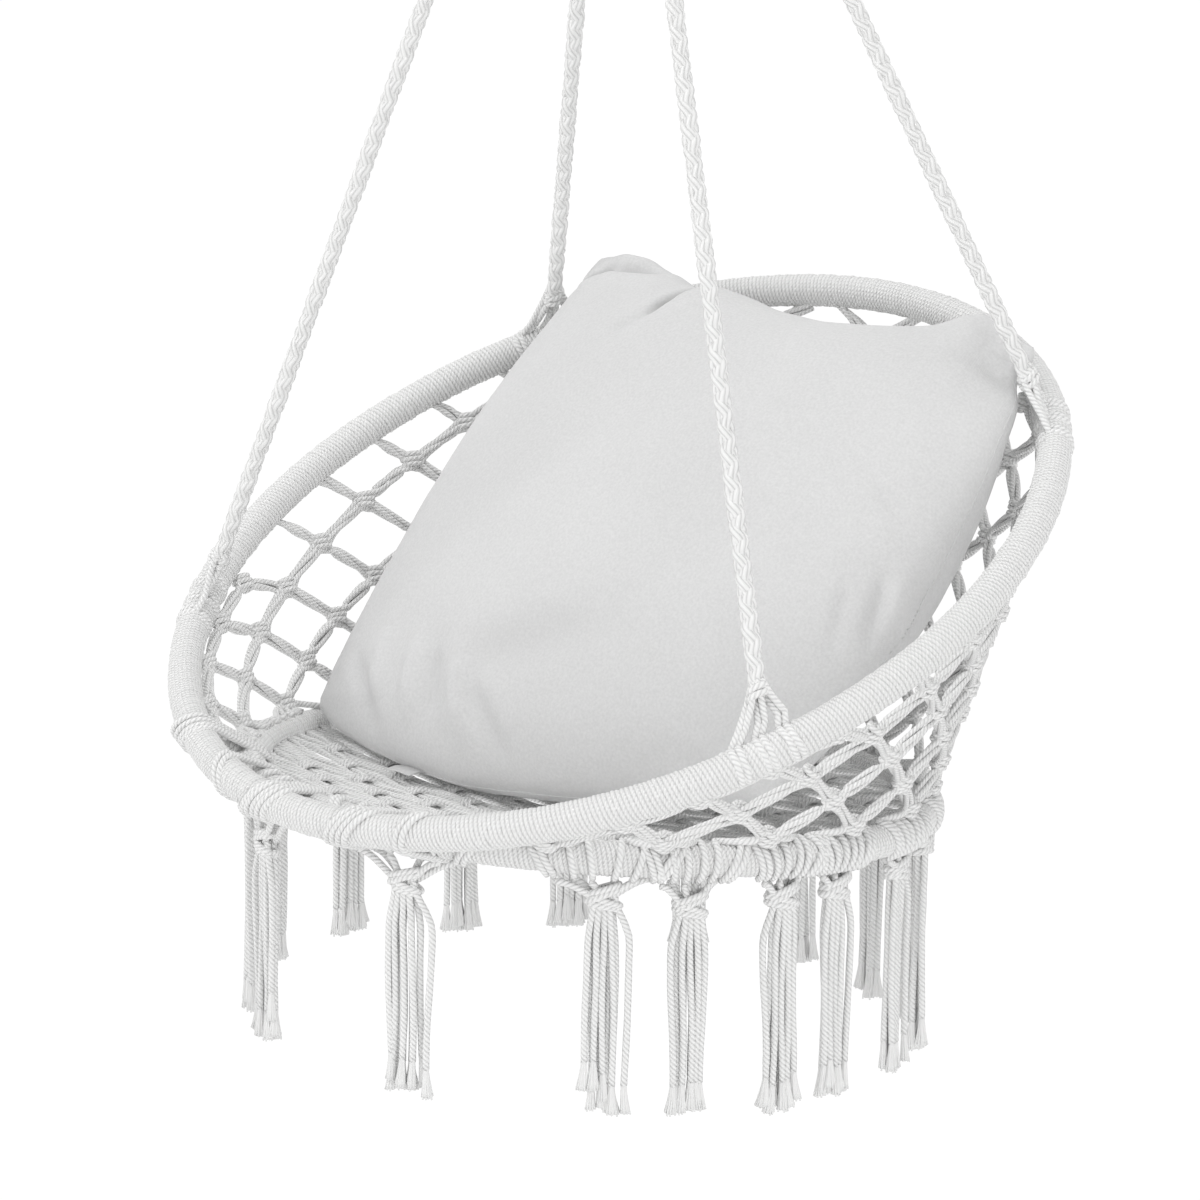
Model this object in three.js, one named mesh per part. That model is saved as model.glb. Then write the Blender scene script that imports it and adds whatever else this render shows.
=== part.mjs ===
// Hammock chair: two corded metal hoops, a knotted net and seat web, four ropes to a hanging ring,
// a fringe of tassels and a loose square cushion.
// Millimetres. The origin is where a hook bears in the hanging ring. +Z is up and the front faces -Y.
import * as THREE from 'three';

const { PI, sin, cos, atan, atan2, acos, sqrt, hypot, abs, min, max, round, ceil, floor } = Math;
const rad = THREE.MathUtils.degToRad;
const fullTurn = 2 * PI;
const halfTurn = PI;
const quarterTurn = PI / 2;

// Clearances between pieces that touch on the real chair.
const touchGap = 0.4;
const netGap = 0.8;
const sleeveGap = 0.8;

// The two hoops. At the front the seat hoop lies this far behind and below the back hoop.
const backHoopRadius = 386;
const backHoopDrop = 984;
const backHoopForward = 10.9;
const backHoopTilt = rad(26.75);
const seatHoopRadius = 288;
const seatHoopTilt = rad(-4.83);
const frontInset = 30.3;
const frontDrop = 5.6;
const hoopTubeRadius = 9.5;
const hoopTubeWall = 1.5;
const hoopJointGap = 0.6;
const spigotLength = 70;
const backWrapRadius = 14.6;
const seatWrapRadius = 14;
const hoopStationStep = rad(10);
const tubeSides = 6;
const wrapSides = 10;

// The suspension ropes and their lashings.
const ropeDiameter = 14;
const lashingCordDiameter = 4.8;
const lashingTurns = 3.5;
const lashingPitch = 5.4;
const lashingSteps = 12;
const selfGapSkip = 3;
const cordSides = 5;
const forkHeight = 31;
const forkEndSpacing = 6.2;
const ropeSides = 8;
const ropeStep = 42;
const gatherOffset = 8.1;
const lashingAngles = {
  front_left: rad(210), front_right: rad(330), back_right: rad(40), back_left: rad(140),
};

// The top fittings.
const hangingRingBore = 25;
const hangingRingWire = 8;
const ringSegments = 24;
const bindingThickness = 1.8;
const bindingSpan = rad(60);
const eyeDiameter = 12;
const eyeLegLength = 66;
const whippingThickness = 3.3;
const whippingLength = 48;
const whippingOverEye = 26;

// The side net.
const netFirstColumn = -16;
const netLastColumn = 16;
const netColumnStep = rad(9);
const netFirstRow = 24;
const netRowStep = 34.5;
const netKnotHalf = 8;
const netThickness = 8;
const netKnotMargin = 9;
const netGhostDepth = 6;
const searchStep = 0.1;

// The seat web.
const webThickness = 8;
const webSag = 24;
const webPitchX = 84;
const webPitchY = 48;
const webSlitLength = 54;
const webSlitWidth = 13;
const webRim = 9;

// The ties that hold the two hoops together at the front.
const tieAngles = [rad(260), rad(280)];
const tieTurns = 3;
const tieCordDiameter = 5;
const tiePitch = 5.5;
const tieNotchSlack = 4.5;
const tieGap = 0.7;

// The tassels: angle on the seat hoop, length share, spread share.
const tasselLength = 196;
const tasselTop = 6;
const tasselKnot = 12;
const tasselKnotDrop = 12;
const tasselNeck = 9;
const tasselNeckDrop = 26;
const tasselHalfWidth = 23;
const tasselHalfDepth = 13;
const tasselPoints = 10;
const tasselFluteShare = 0.8;
const tasselGap = 0.8;
const tasselTable = [
  { degrees: 18, lengthShare: 0.96, spreadShare: 0.9 },
  { degrees: 40, lengthShare: 1, spreadShare: 0.85 },
  { degrees: 55.5, lengthShare: 0.97, spreadShare: 1 },
  { degrees: 71.5, lengthShare: 0.99, spreadShare: 0.9 },
  { degrees: 92, lengthShare: 0.95, spreadShare: 1 },
  { degrees: 115, lengthShare: 1, spreadShare: 0.95 },
  { degrees: 137, lengthShare: 0.96, spreadShare: 1 },
  { degrees: 157.5, lengthShare: 0.98, spreadShare: 0.9 },
  { degrees: 182, lengthShare: 0.94, spreadShare: 1 },
  { degrees: 205, lengthShare: 0.97, spreadShare: 1.1 },
  { degrees: 228.5, lengthShare: 1.02, spreadShare: 1 },
  { degrees: 246.5, lengthShare: 1.03, spreadShare: 1.2 },
  { degrees: 284, lengthShare: 1.02, spreadShare: 1.15 },
  { degrees: 317, lengthShare: 1, spreadShare: 1 },
  { degrees: 331, lengthShare: 0.99, spreadShare: 0.9 },
  { degrees: 347.5, lengthShare: 1, spreadShare: 0.85 },
  { degrees: 359, lengthShare: 0.97, spreadShare: 0.95 },
];

// The cushion.
const cushionHalfWidth = 265;
const cushionHalfHeight = 240;
const cushionHalfThickness = 84;
const cushionLean = rad(47.6);
const cushionCentreY = 84;
const cushionRestGap = 11.5;
const cushionRightBelly = 38;
const cushionLeftBelly = 6;
const cushionTopDraw = 22;
const cushionBelly = 38;
const cushionCornerDraw = 26;
const cushionCornerPower = 6;
const cushionFullnessShare = 0.42;
const cushionSlackFullnessShare = 0.34;
const coverThickness = 2.4;
const coverGap = 0.3;
const fillingEdgeShare = 0.98;
const fillingDepthShare = 0.995;
const fillingWall = 6;
const coverCells = 12;
const zipFirstCell = 3;
const zipLastCell = 8;
const zipRow = 1;
const insetOnsetShare = 4;
const labelWidth = 34;
const labelHeight = 22;
const labelThickness = 0.8;
const labelOffset = 118;

// Materials.
const cottonCord = new THREE.MeshStandardMaterial({ color: 0xf1efea, roughness: 0.9, metalness: 0 });
const cottonCloth = new THREE.MeshStandardMaterial({ color: 0xecebe8, roughness: 0.85, metalness: 0 });
const fibreFill = new THREE.MeshStandardMaterial({ color: 0xf4f4f2, roughness: 1, metalness: 0 });
const hoopSteel = new THREE.MeshStandardMaterial({ color: 0xdededc, roughness: 0.5, metalness: 0.6 });
const ringSteel = new THREE.MeshStandardMaterial({ color: 0xb9bbbd, roughness: 0.3, metalness: 1 });
const zipPlastic = new THREE.MeshStandardMaterial({ color: 0xe6e6e4, roughness: 0.5, metalness: 0 });

const hammockChair = new THREE.Group();
hammockChair.name = 'hammock_chair';

function addPiece(name, geometry, material) {
  const piece = new THREE.Mesh(geometry, material);
  piece.name = name;
  hammockChair.add(piece);
  return piece;
}

// Curves that an ExtrudeGeometry follows with a station at each given point.
class StationPath extends THREE.Curve {
  constructor(points) {
    super();
    this.points = points;
  }

  getPointAt(share) {
    return this.points[round(share * (this.points.length - 1))].clone();
  }

  getTangentAt(share) {
    const last = this.points.length - 1;
    const index = round(share * last);
    const before = this.points[max(index - 1, 0)];
    const after = this.points[min(index + 1, last)];
    return after.clone().sub(before).normalize();
  }
}

class HoopPath extends StationPath {
  constructor(hoop, angles) {
    super(angles.map((angle) => hoopPoint(hoop, angle)));
    this.hoop = hoop;
    this.angles = angles;
  }

  computeFrenetFrames() {
    const tangents = this.angles.map((angle) => hoopTangent(this.hoop, angle));
    const normals = this.angles.map((angle) => hoopRadial(this.hoop, angle));
    const binormals = tangents.map((tangent, i) => tangent.clone().cross(normals[i]));
    return { tangents, normals, binormals };
  }
}

function sweepPoints(points, section) {
  const path = new StationPath(points);
  return new THREE.ExtrudeGeometry(section, { steps: points.length - 1, extrudePath: path });
}

function polygonPath(radius, sides, target) {
  for (let i = 0; i < sides; i += 1) {
    const angle = (i / sides) * fullTurn + halfTurn / sides;
    if (i === 0) target.moveTo(radius * cos(angle), radius * sin(angle));
    else target.lineTo(radius * cos(angle), radius * sin(angle));
  }
  target.closePath();
  return target;
}

function roundSection(radius, sides) {
  return polygonPath(radius, sides, new THREE.Shape());
}

function pipeSection(radius, sides, boreRadius, boreSides) {
  const section = roundSection(radius, sides);
  section.holes.push(polygonPath(boreRadius, boreSides, new THREE.Path()));
  return section;
}

// Hoop geometry: the angle runs from +X (right) over +Y (back). Each hoop is a polygon of straight
// chords whose middles lie at whole steps, and everything on it follows the same chords.
const backHoop = {
  radius: backHoopRadius, tilt: backHoopTilt, wrap: backWrapRadius,
  centre: new THREE.Vector3(0, backHoopForward, -backHoopDrop),
};
const backFrontY = backHoopForward - backHoopRadius * cos(backHoopTilt);
const backFrontZ = -backHoopDrop - backHoopRadius * sin(backHoopTilt);
const seatHoop = {
  radius: seatHoopRadius, tilt: seatHoopTilt, wrap: seatWrapRadius,
  centre: new THREE.Vector3(
    0, backFrontY + frontInset + seatHoopRadius * cos(seatHoopTilt),
    backFrontZ - frontDrop + seatHoopRadius * sin(seatHoopTilt)),
};

function hoopRadial(hoop, angle) {
  return new THREE.Vector3(cos(angle), sin(angle) * cos(hoop.tilt), sin(angle) * sin(hoop.tilt));
}

function hoopTangent(hoop, angle) {
  return hoopRadial(hoop, angle + quarterTurn);
}

function fromChordMiddle(angle) {
  return angle - round(angle / hoopStationStep) * hoopStationStep;
}

function chordDistance(hoop) {
  return hoop.radius * cos(hoopStationStep / 2);
}

function hoopPoint(hoop, angle) {
  const reach = chordDistance(hoop) / cos(fromChordMiddle(angle));
  return hoopRadial(hoop, angle).multiplyScalar(reach).add(hoop.centre);
}

function distanceToHoop(hoop, point) {
  const local = point.clone().sub(hoop.centre);
  const along = local.y * cos(hoop.tilt) + local.z * sin(hoop.tilt);
  const above = local.z * cos(hoop.tilt) - local.y * sin(hoop.tilt);
  const outward = hypot(local.x, along) * cos(fromChordMiddle(atan2(along, local.x)));
  return hypot(outward - chordDistance(hoop), above);
}

// Stations at every chord end between two angles, with the two angles themselves.
function hoopStations(start, end) {
  const angles = [start];
  const first = ceil(start / hoopStationStep - 1 / 2);
  const last = floor(end / hoopStationStep - 1 / 2);
  for (let i = first; i <= last; i += 1) angles.push((i + 1 / 2) * hoopStationStep);
  angles.push(end);
  return angles;
}

function hoopSweep(hoop, start, end, section) {
  const angles = hoopStations(start, end);
  const path = new HoopPath(hoop, angles);
  return new THREE.ExtrudeGeometry(section, { steps: angles.length - 1, extrudePath: path });
}

// Hoop tubes, closed at the front by a spigot.
const frontAngle = -quarterTurn;
const tubeBore = hoopTubeRadius - hoopTubeWall;
const tubeSection = pipeSection(hoopTubeRadius, tubeSides, tubeBore, tubeSides);
const spigotSection = roundSection(tubeBore - touchGap, tubeSides);

function addHoop(name, hoop) {
  const halfGap = hoopJointGap / 2 / hoop.radius;
  const halfSpigot = spigotLength / 2 / hoop.radius;
  const tube = hoopSweep(hoop, frontAngle + halfGap, frontAngle + fullTurn - halfGap, tubeSection);
  addPiece(`${name}_tube`, tube, hoopSteel);
  const spigot = hoopSweep(hoop, frontAngle - halfSpigot, frontAngle + halfSpigot, spigotSection);
  addPiece(`${name}_spigot`, spigot, hoopSteel);
}

addHoop('back_hoop', backHoop);
addHoop('seat_hoop', seatHoop);

// Cord wraps: a full sleeve on the seat hoop, and four runs between the lashings on the back hoop.
function wrapSection(hoop) {
  return pipeSection(hoop.wrap, wrapSides, hoopTubeRadius + touchGap / cos(halfTurn / tubeSides), tubeSides);
}

const lashingHalfAngle = (lashingTurns * lashingPitch / 2 + lashingCordDiameter) / backHoop.radius;
const wrapRuns = {
  back_wrap_front: ['front_left', 'front_right'],
  back_wrap_right: ['front_right', 'back_right'],
  back_wrap_rear: ['back_right', 'back_left'],
  back_wrap_left: ['back_left', 'front_left'],
};
for (const [name, [from, to]] of Object.entries(wrapRuns)) {
  const start = lashingAngles[from] + lashingHalfAngle;
  const fullEnd = lashingAngles[to] - lashingHalfAngle;
  const end = fullEnd < start ? fullEnd + fullTurn : fullEnd;
  addPiece(name, hoopSweep(backHoop, start, end, wrapSection(backHoop)), cottonCord);
}
const seatWrapHalfGap = hoopJointGap / 2 / seatHoop.radius;
const seatWrap = hoopSweep(
  seatHoop, quarterTurn + seatWrapHalfGap, quarterTurn + fullTurn - seatWrapHalfGap, wrapSection(seatHoop));
addPiece('seat_hoop_wrap', seatWrap, cottonCord);

// Hanging ring, its binding and the rope eye. The ring stands in the XZ plane.
const ringPathRadius = hangingRingBore + hangingRingWire / 2;
const ringCentreZ = -hangingRingBore;
const ringBottomZ = ringCentreZ - ringPathRadius;
const hangingRing = new THREE.LatheGeometry(
  ringProfile(ringPathRadius, hangingRingWire / 2), ringSegments);
const ringMesh = addPiece('hanging_ring', hangingRing, ringSteel);
ringMesh.position.z = ringCentreZ;

function ringProfile(pathRadius, wireRadius) {
  const profile = [];
  for (let i = 0; i <= tubeSides; i += 1) {
    const angle = (i / tubeSides) * fullTurn;
    profile.push(new THREE.Vector2(pathRadius + wireRadius * cos(angle), wireRadius * sin(angle)));
  }
  return profile;
}

function ringArcPoint(angle) {
  return new THREE.Vector3(ringPathRadius * sin(angle), 0, ringCentreZ - ringPathRadius * cos(angle));
}

const bindingBore = (hangingRingWire / 2 + touchGap) / cos(halfTurn / tubeSides);
const bindingRadius = hangingRingWire / 2 + touchGap + bindingThickness;
const bindingStations = 6;
const bindingPoints = [];
for (let i = 0; i <= bindingStations; i += 1) {
  bindingPoints.push(ringArcPoint((i / bindingStations - 1 / 2) * bindingSpan));
}
const bindingSection = pipeSection(bindingRadius, wrapSides, bindingBore, tubeSides);
addPiece('ring_binding', sweepPoints(bindingPoints, bindingSection), cottonCord);

const eyeRadius = eyeDiameter / 2;
const eyeBend = bindingRadius + touchGap + eyeRadius;
const eyeBendSteps = 8;
const eyePoints = [new THREE.Vector3(0, -eyeBend, ringBottomZ - eyeLegLength)];
for (let i = 0; i <= eyeBendSteps; i += 1) {
  const angle = (i / eyeBendSteps) * halfTurn;
  eyePoints.push(new THREE.Vector3(0, -eyeBend * cos(angle), ringBottomZ + eyeBend * sin(angle)));
}
eyePoints.push(new THREE.Vector3(0, eyeBend, ringBottomZ - eyeLegLength));
addPiece('rope_eye', sweepPoints(eyePoints, roundSection(eyeRadius, ropeSides)), cottonCord);

// Whipping: a sleeve round the eye's two legs and the tops of the four ropes.
const eyeEndZ = ringBottomZ - eyeLegLength;
const whippingTopZ = eyeEndZ + whippingOverEye;
const whippingBottomZ = whippingTopZ - whippingLength;
const ropeRadius = ropeDiameter / 2;
const gatherRadius = gatherOffset * sqrt(2) + ropeRadius;
const whippingBore = (max(gatherRadius, eyeBend + eyeRadius) + sleeveGap) / cos(halfTurn / ringSegments);
const whippingRadius = whippingBore + whippingThickness;
const whipping = new THREE.LatheGeometry([
  new THREE.Vector2(whippingBore, whippingBottomZ),
  new THREE.Vector2(whippingRadius, whippingBottomZ),
  new THREE.Vector2(whippingRadius, whippingTopZ),
  new THREE.Vector2(whippingBore, whippingTopZ),
  new THREE.Vector2(whippingBore, whippingBottomZ),
], ringSegments);
whipping.rotateX(quarterTurn);
addPiece('rope_whipping', whipping, cottonCord);

// Ropes: each runs from its fork above the hoop to the gather, then up inside the whipping.
// The route's first point lies at the fork, the last at the rope's end under the eye.
const ropeEndZ = eyeEndZ - touchGap;
const gatherZ = whippingBottomZ - touchGap;
const ropeSideSigns = {
  front_left: [-1, -1], front_right: [1, -1], back_right: [1, 1], back_left: [-1, 1],
};

function ropeFrame(name) {
  const [signX, signY] = ropeSideSigns[name];
  const foot = hoopPoint(backHoop, lashingAngles[name]);
  const gather = new THREE.Vector3(signX * gatherOffset, signY * gatherOffset, gatherZ);
  const up = gather.clone().sub(foot).normalize();
  const along = hoopTangent(backHoop, lashingAngles[name]);
  const over = up.clone().addScaledVector(along, -along.dot(up)).normalize();
  const side = along.clone().cross(over);
  return { foot, gather, up, along, over, side };
}

function subdivide(points, step) {
  const dense = [points[0]];
  for (let i = 1; i < points.length; i += 1) {
    const count = max(1, round(points[i].distanceTo(points[i - 1]) / step));
    for (let k = 1; k <= count; k += 1) dense.push(points[i - 1].clone().lerp(points[i], k / count));
  }
  return dense;
}

for (const name of Object.keys(lashingAngles)) {
  const { foot, gather, up } = ropeFrame(name);
  const forkEnd = foot.clone().addScaledVector(up, backWrapRadius + forkHeight);
  const top = new THREE.Vector3(gather.x, gather.y, ropeEndZ);
  const route = subdivide([forkEnd, gather, top], ropeStep);
  addPiece(`rope_${name}`, sweepPoints(route, roundSection(ropeRadius, ropeSides)), cottonCord);
}

// Lashings: one cord each, down one leg of the fork, round the tube and up the other leg.
const lashingCordRadius = lashingCordDiameter / 2;
const lashingRadius = hoopTubeRadius + touchGap + lashingCordRadius;

function windingPoint({ foot, over, along, side }, a, s, u) {
  return foot.clone().addScaledVector(along, a).addScaledVector(side, s).addScaledVector(over, u);
}

function forkPoint({ foot, up, side }, halfSpacing, height) {
  const apart = side.clone().cross(up).normalize();
  return foot.clone().addScaledVector(apart, halfSpacing).addScaledVector(up, height);
}

for (const name of Object.keys(lashingAngles)) {
  const frame = ropeFrame(name);
  const halfRun = lashingTurns * lashingPitch / 2;
  const legTop = backWrapRadius + forkHeight - touchGap;
  const legTurn = legTop - lashingCordDiameter;
  const legFoot = lashingRadius + lashingCordDiameter;
  const points = [
    forkPoint(frame, forkEndSpacing / 2, legTop),
    forkPoint(frame, forkEndSpacing / 2, legTurn),
    windingPoint(frame, -halfRun, lashingRadius, legFoot),
  ];
  const steps = lashingTurns * lashingSteps;
  for (let i = 0; i <= steps; i += 1) {
    const angle = quarterTurn - (i / lashingSteps) * fullTurn;
    const a = -halfRun + (i / steps) * 2 * halfRun;
    points.push(windingPoint(frame, a, lashingRadius * sin(angle), lashingRadius * cos(angle)));
  }
  points.push(windingPoint(frame, halfRun, -lashingRadius, legFoot));
  points.push(forkPoint(frame, -forkEndSpacing / 2, legTurn));
  points.push(forkPoint(frame, -forkEndSpacing / 2, legTop));
  points.reverse();
  addPiece(`lashing_${name}`, sweepPoints(points, roundSection(lashingCordRadius, cordSides)), cottonCord);
  printLeastGap(`lashing_${name}`, points, lashingCordDiameter);
}

// The least gap of a cord to itself, measured between the segments of its route.
function printLeastGap(name, points, diameter) {
  const reach = selfGapSkip * diameter;
  const lengths = [0];
  for (let i = 1; i < points.length; i += 1) {
    lengths.push(lengths[i - 1] + points[i].distanceTo(points[i - 1]));
  }
  let least = Infinity;
  for (let i = 0; i < points.length; i += 1) {
    for (let k = i + 1; k < points.length - 1; k += 1) {
      if (lengths[k] - lengths[i] < reach) continue;
      const segment = new THREE.Line3(points[k], points[k + 1]);
      const nearest = segment.closestPointToPoint(points[i], true, new THREE.Vector3());
      least = min(least, nearest.distanceTo(points[i]) - diameter);
    }
  }
  console.log(`${name}: least gap to itself ${least.toFixed(2)} mm`);
}

// Front ties: windings round both hoops, an oval of two half circles.
function addTie(name, angle) {
  const seat = hoopPoint(seatHoop, angle);
  const backAngle = -acos(seat.x / backHoopRadius);
  const back = hoopPoint(backHoop, backAngle);
  const along = hoopTangent(backHoop, backAngle).add(hoopTangent(seatHoop, angle)).normalize();
  seat.addScaledVector(along, back.clone().sub(seat).dot(along));
  const across = seat.clone().sub(back).normalize();
  const over = along.clone().cross(across);
  const cordRadius = tieCordDiameter / 2;
  const steps = tieTurns * lashingSteps;
  const halfStep = fullTurn / lashingSteps / 2;
  const points = [];
  for (let i = 0; i <= steps; i += 1) {
    const turn = (i / lashingSteps) * fullTurn + halfStep;
    const hoop = cos(turn) > 0 ? seatHoop : backHoop;
    const centre = cos(turn) > 0 ? seat : back;
    const reach = (hoop.wrap + tieGap + cordRadius) / cos(halfStep);
    const shift = (i / lashingSteps - tieTurns / 2) * tiePitch;
    points.push(centre.clone().addScaledVector(along, shift)
      .addScaledVector(across, reach * cos(turn)).addScaledVector(over, reach * sin(turn)));
  }
  addPiece(name, sweepPoints(points, roundSection(cordRadius, cordSides)), cottonCord);
  printLeastGap(name, points, tieCordDiameter);
}

addTie('hoop_tie_left', tieAngles[0]);
addTie('hoop_tie_right', tieAngles[1]);

// Bodies made of faces: a sheet of outer faces gets its inner side and the walls between them.
function thicken(faces, outer, inner) {
  const offset = outer.length;
  const triangles = [];
  const edges = new Map();
  for (const face of faces) {
    for (let i = 1; i < face.length - 1; i += 1) {
      triangles.push([face[0], face[i], face[i + 1]]);
      triangles.push([face[0] + offset, face[i + 1] + offset, face[i] + offset]);
    }
    face.forEach((from, i) => {
      const to = face[(i + 1) % face.length];
      edges.set(`${from},${to}`, [from, to]);
    });
  }
  for (const [from, to] of edges.values()) {
    if (edges.has(`${to},${from}`)) continue;
    triangles.push([to, from, from + offset]);
    triangles.push([to, from + offset, to + offset]);
  }
  return trianglesGeometry([...outer, ...inner], triangles);
}

function trianglesGeometry(points, triangles) {
  const geometry = new THREE.BufferGeometry();
  const numbers = points.flatMap((point) => point.toArray());
  geometry.setAttribute('position', new THREE.Float32BufferAttribute(numbers, 3));
  geometry.setIndex(triangles.flat());
  geometry.computeVertexNormals();
  return geometry;
}

// Side net: knots on a ruled surface from the seat hoop to the back hoop, joined by slanting bars.
function netPoint(angle, height) {
  const low = hoopPoint(seatHoop, angle);
  const high = hoopPoint(backHoop, angle);
  return low.clone().addScaledVector(high.sub(low).normalize(), height);
}

function netReach(angle) {
  return hoopPoint(seatHoop, angle).distanceTo(hoopPoint(backHoop, angle));
}

function netNormal(angle, height) {
  const probe = netColumnStep / 2;
  const along = netPoint(angle + probe, height).sub(netPoint(angle - probe, height));
  const upward = netPoint(angle, height + netKnotHalf).sub(netPoint(angle, height - netKnotHalf));
  return along.cross(upward).normalize();
}

const hoopClearance = backWrapRadius + netGap;
const knotDistance = hoopClearance + netKnotMargin;

// A knot's height: as planned, tied just under the back hoop, or none where the bars reach the hoop.
function netKnotHeight(column, row) {
  const angle = quarterTurn + column * netColumnStep;
  const planned = netFirstRow + row * netRowStep;
  const reach = netReach(angle);
  const distance = distanceToHoop(backHoop, netPoint(angle, planned));
  if (planned < reach && distance >= knotDistance) return planned;
  if (planned > reach || distance < netGhostDepth) return null;
  let low = planned - netRowStep;
  let high = planned;
  while (high - low > searchStep) {
    const middle = (low + high) / 2;
    if (distanceToHoop(backHoop, netPoint(angle, middle)) >= knotDistance) low = middle;
    else high = middle;
  }
  return low > netFirstRow - touchGap ? low : null;
}

function buildSideNet() {
  const outer = [];
  const inner = [];
  const faces = [];
  const knots = new Map();
  const addVertex = (angle, height) => {
    const point = netPoint(angle, height);
    const half = netNormal(angle, height).multiplyScalar(netThickness / 2);
    outer.push(point.clone().add(half));
    inner.push(point.clone().sub(half));
    return outer.length - 1;
  };
  const cornersAt = (column, height) => {
    const angle = quarterTurn + column * netColumnStep;
    const spacing = netPoint(angle, height).distanceTo(netPoint(angle + netColumnStep, height));
    const sideways = netColumnStep * netKnotHalf / spacing;
    return {
      north: [angle, height + netKnotHalf], south: [angle, height - netKnotHalf],
      east: [angle + sideways, height], west: [angle - sideways, height],
    };
  };
  const rowLimit = ceil(netReach(quarterTurn) / netRowStep);
  for (let column = netFirstColumn; column <= netLastColumn; column += 1) {
    for (let row = abs(column % 2); row <= rowLimit; row += 2) {
      const height = netKnotHeight(column, row);
      if (height === null) continue;
      const corners = cornersAt(column, height);
      const ids = {};
      for (const [key, at] of Object.entries(corners)) ids[key] = addVertex(...at);
      knots.set(`${column},${row}`, { column, row, height, corners, ids });
      faces.push([ids.east, ids.north, ids.west, ids.south]);
    }
  }
  const stubEnd = (from, to) => {
    const pointAt = (share) => from.map((start, i) => start + (to[i] - start) * share);
    const clear = (share) => {
      const [angle, height] = pointAt(share);
      const half = netNormal(angle, height).multiplyScalar(netThickness / 2);
      const point = netPoint(angle, height);
      const outside = distanceToHoop(backHoop, point.clone().add(half));
      const inside = distanceToHoop(backHoop, point.sub(half));
      return min(outside, inside) > hoopClearance;
    };
    if (clear(1)) return null;
    let low = 0;
    let high = 1;
    while ((high - low) * netRowStep > searchStep) {
      const middle = (low + high) / 2;
      if (clear(middle)) low = middle;
      else high = middle;
    }
    return low > 0 ? pointAt(low) : null;
  };
  for (const { column, row, height, corners, ids } of knots.values()) {
    const planned = height === netFirstRow + row * netRowStep;
    for (const side of [1, -1]) {
      const upper = knots.get(`${column + side},${row + 1}`);
      const nearCorner = side > 0 ? 'east' : 'west';
      const farCorner = side > 0 ? 'west' : 'east';
      if (upper) {
        const bar = [ids[nearCorner], upper.ids.south, upper.ids[farCorner], ids.north];
        faces.push(side > 0 ? bar : bar.reverse());
      } else if (planned && netKnotHeight(column + side, row + 1) === null) {
        const ghost = cornersAt(column + side, height + netRowStep);
        const low = stubEnd(corners[nearCorner], ghost.south);
        const high = stubEnd(corners.north, ghost[farCorner]);
        if (low === null || high === null) continue;
        const bar = [ids[nearCorner], addVertex(...low), addVertex(...high), ids.north];
        faces.push(side > 0 ? bar : bar.reverse());
      }
    }
  }
  console.log(`side_net: ${knots.size} knots, ${faces.length - knots.size} bars`);
  return thicken(faces, outer, inner);
}

addPiece('side_net', buildSideNet(), cottonCord);

// The web's edge follows the hoop's chords, with a notch where each tie passes.
function webOutline(discRadius) {
  const edge = [];
  const stations = round(fullTurn / hoopStationStep);
  for (let i = 0; i < stations; i += 1) edge.push([(i + 1 / 2) * hoopStationStep, 0]);
  const notchHalf = (tieTurns * tiePitch / 2 + tieCordDiameter + tieNotchSlack) / discRadius;
  const notchDepth = tieCordDiameter + tieNotchSlack;
  for (const angle of tieAngles) {
    edge.push([angle - notchHalf, 0], [angle - notchHalf, notchDepth]);
    edge.push([angle + notchHalf, notchDepth], [angle + notchHalf, 0]);
  }
  edge.sort((a, b) => a[0] - b[0]);
  return new THREE.Shape(edge.map(([angle, depth]) => {
    const reach = discRadius * cos(hoopStationStep / 2) / cos(fromChordMiddle(angle)) - depth;
    return new THREE.Vector2(reach * cos(angle), reach * sin(angle));
  }));
}

// Seat web: a sagging disc inside the seat hoop, with staggered slits between its cord bundles.
const wrapFlat = seatWrapRadius * cos(halfTurn / wrapSides);
const webDiscRadius = seatHoopRadius - wrapFlat - touchGap / cos(hoopStationStep / 2);

function buildSeatWeb() {
  const discRadius = webDiscRadius;
  const outline = webOutline(discRadius);
  const slitLimit = (discRadius - webRim) * cos(hoopStationStep / 2);
  const columnCount = ceil(2 * discRadius / webPitchX);
  const rowCount = ceil(2 * discRadius / webPitchY);
  let slits = 0;
  for (let row = -rowCount; row <= rowCount; row += 1) {
    for (let column = -columnCount; column <= columnCount; column += 1) {
      const x = (column + abs(row % 2) / 2) * webPitchX;
      const y = row * webPitchY / 2;
      if (hypot(abs(x) + webSlitLength / 2, y) > slitLimit) continue;
      const slit = new THREE.Path();
      slit.moveTo(x - webSlitLength / 2, y);
      slit.lineTo(x, y - webSlitWidth / 2);
      slit.lineTo(x + webSlitLength / 2, y);
      slit.lineTo(x, y + webSlitWidth / 2);
      slit.closePath();
      outline.holes.push(slit);
      slits += 1;
    }
  }
  const web = new THREE.ExtrudeGeometry(outline, { depth: webThickness, bevelEnabled: false });
  web.translate(0, 0, -webThickness / 2);
  const position = web.attributes.position;
  for (let i = 0; i < position.count; i += 1) {
    const share = hypot(position.getX(i), position.getY(i)) / discRadius;
    position.setZ(i, position.getZ(i) - webSag * max(0, 1 - share * share));
  }
  web.computeVertexNormals();
  console.log(`seat_web: ${slits} slits`);
  return web;
}

const seatWeb = addPiece('seat_web', buildSeatWeb(), cottonCord);
seatWeb.position.copy(seatHoop.centre);
seatWeb.rotation.x = seatHoop.tilt;

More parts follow.
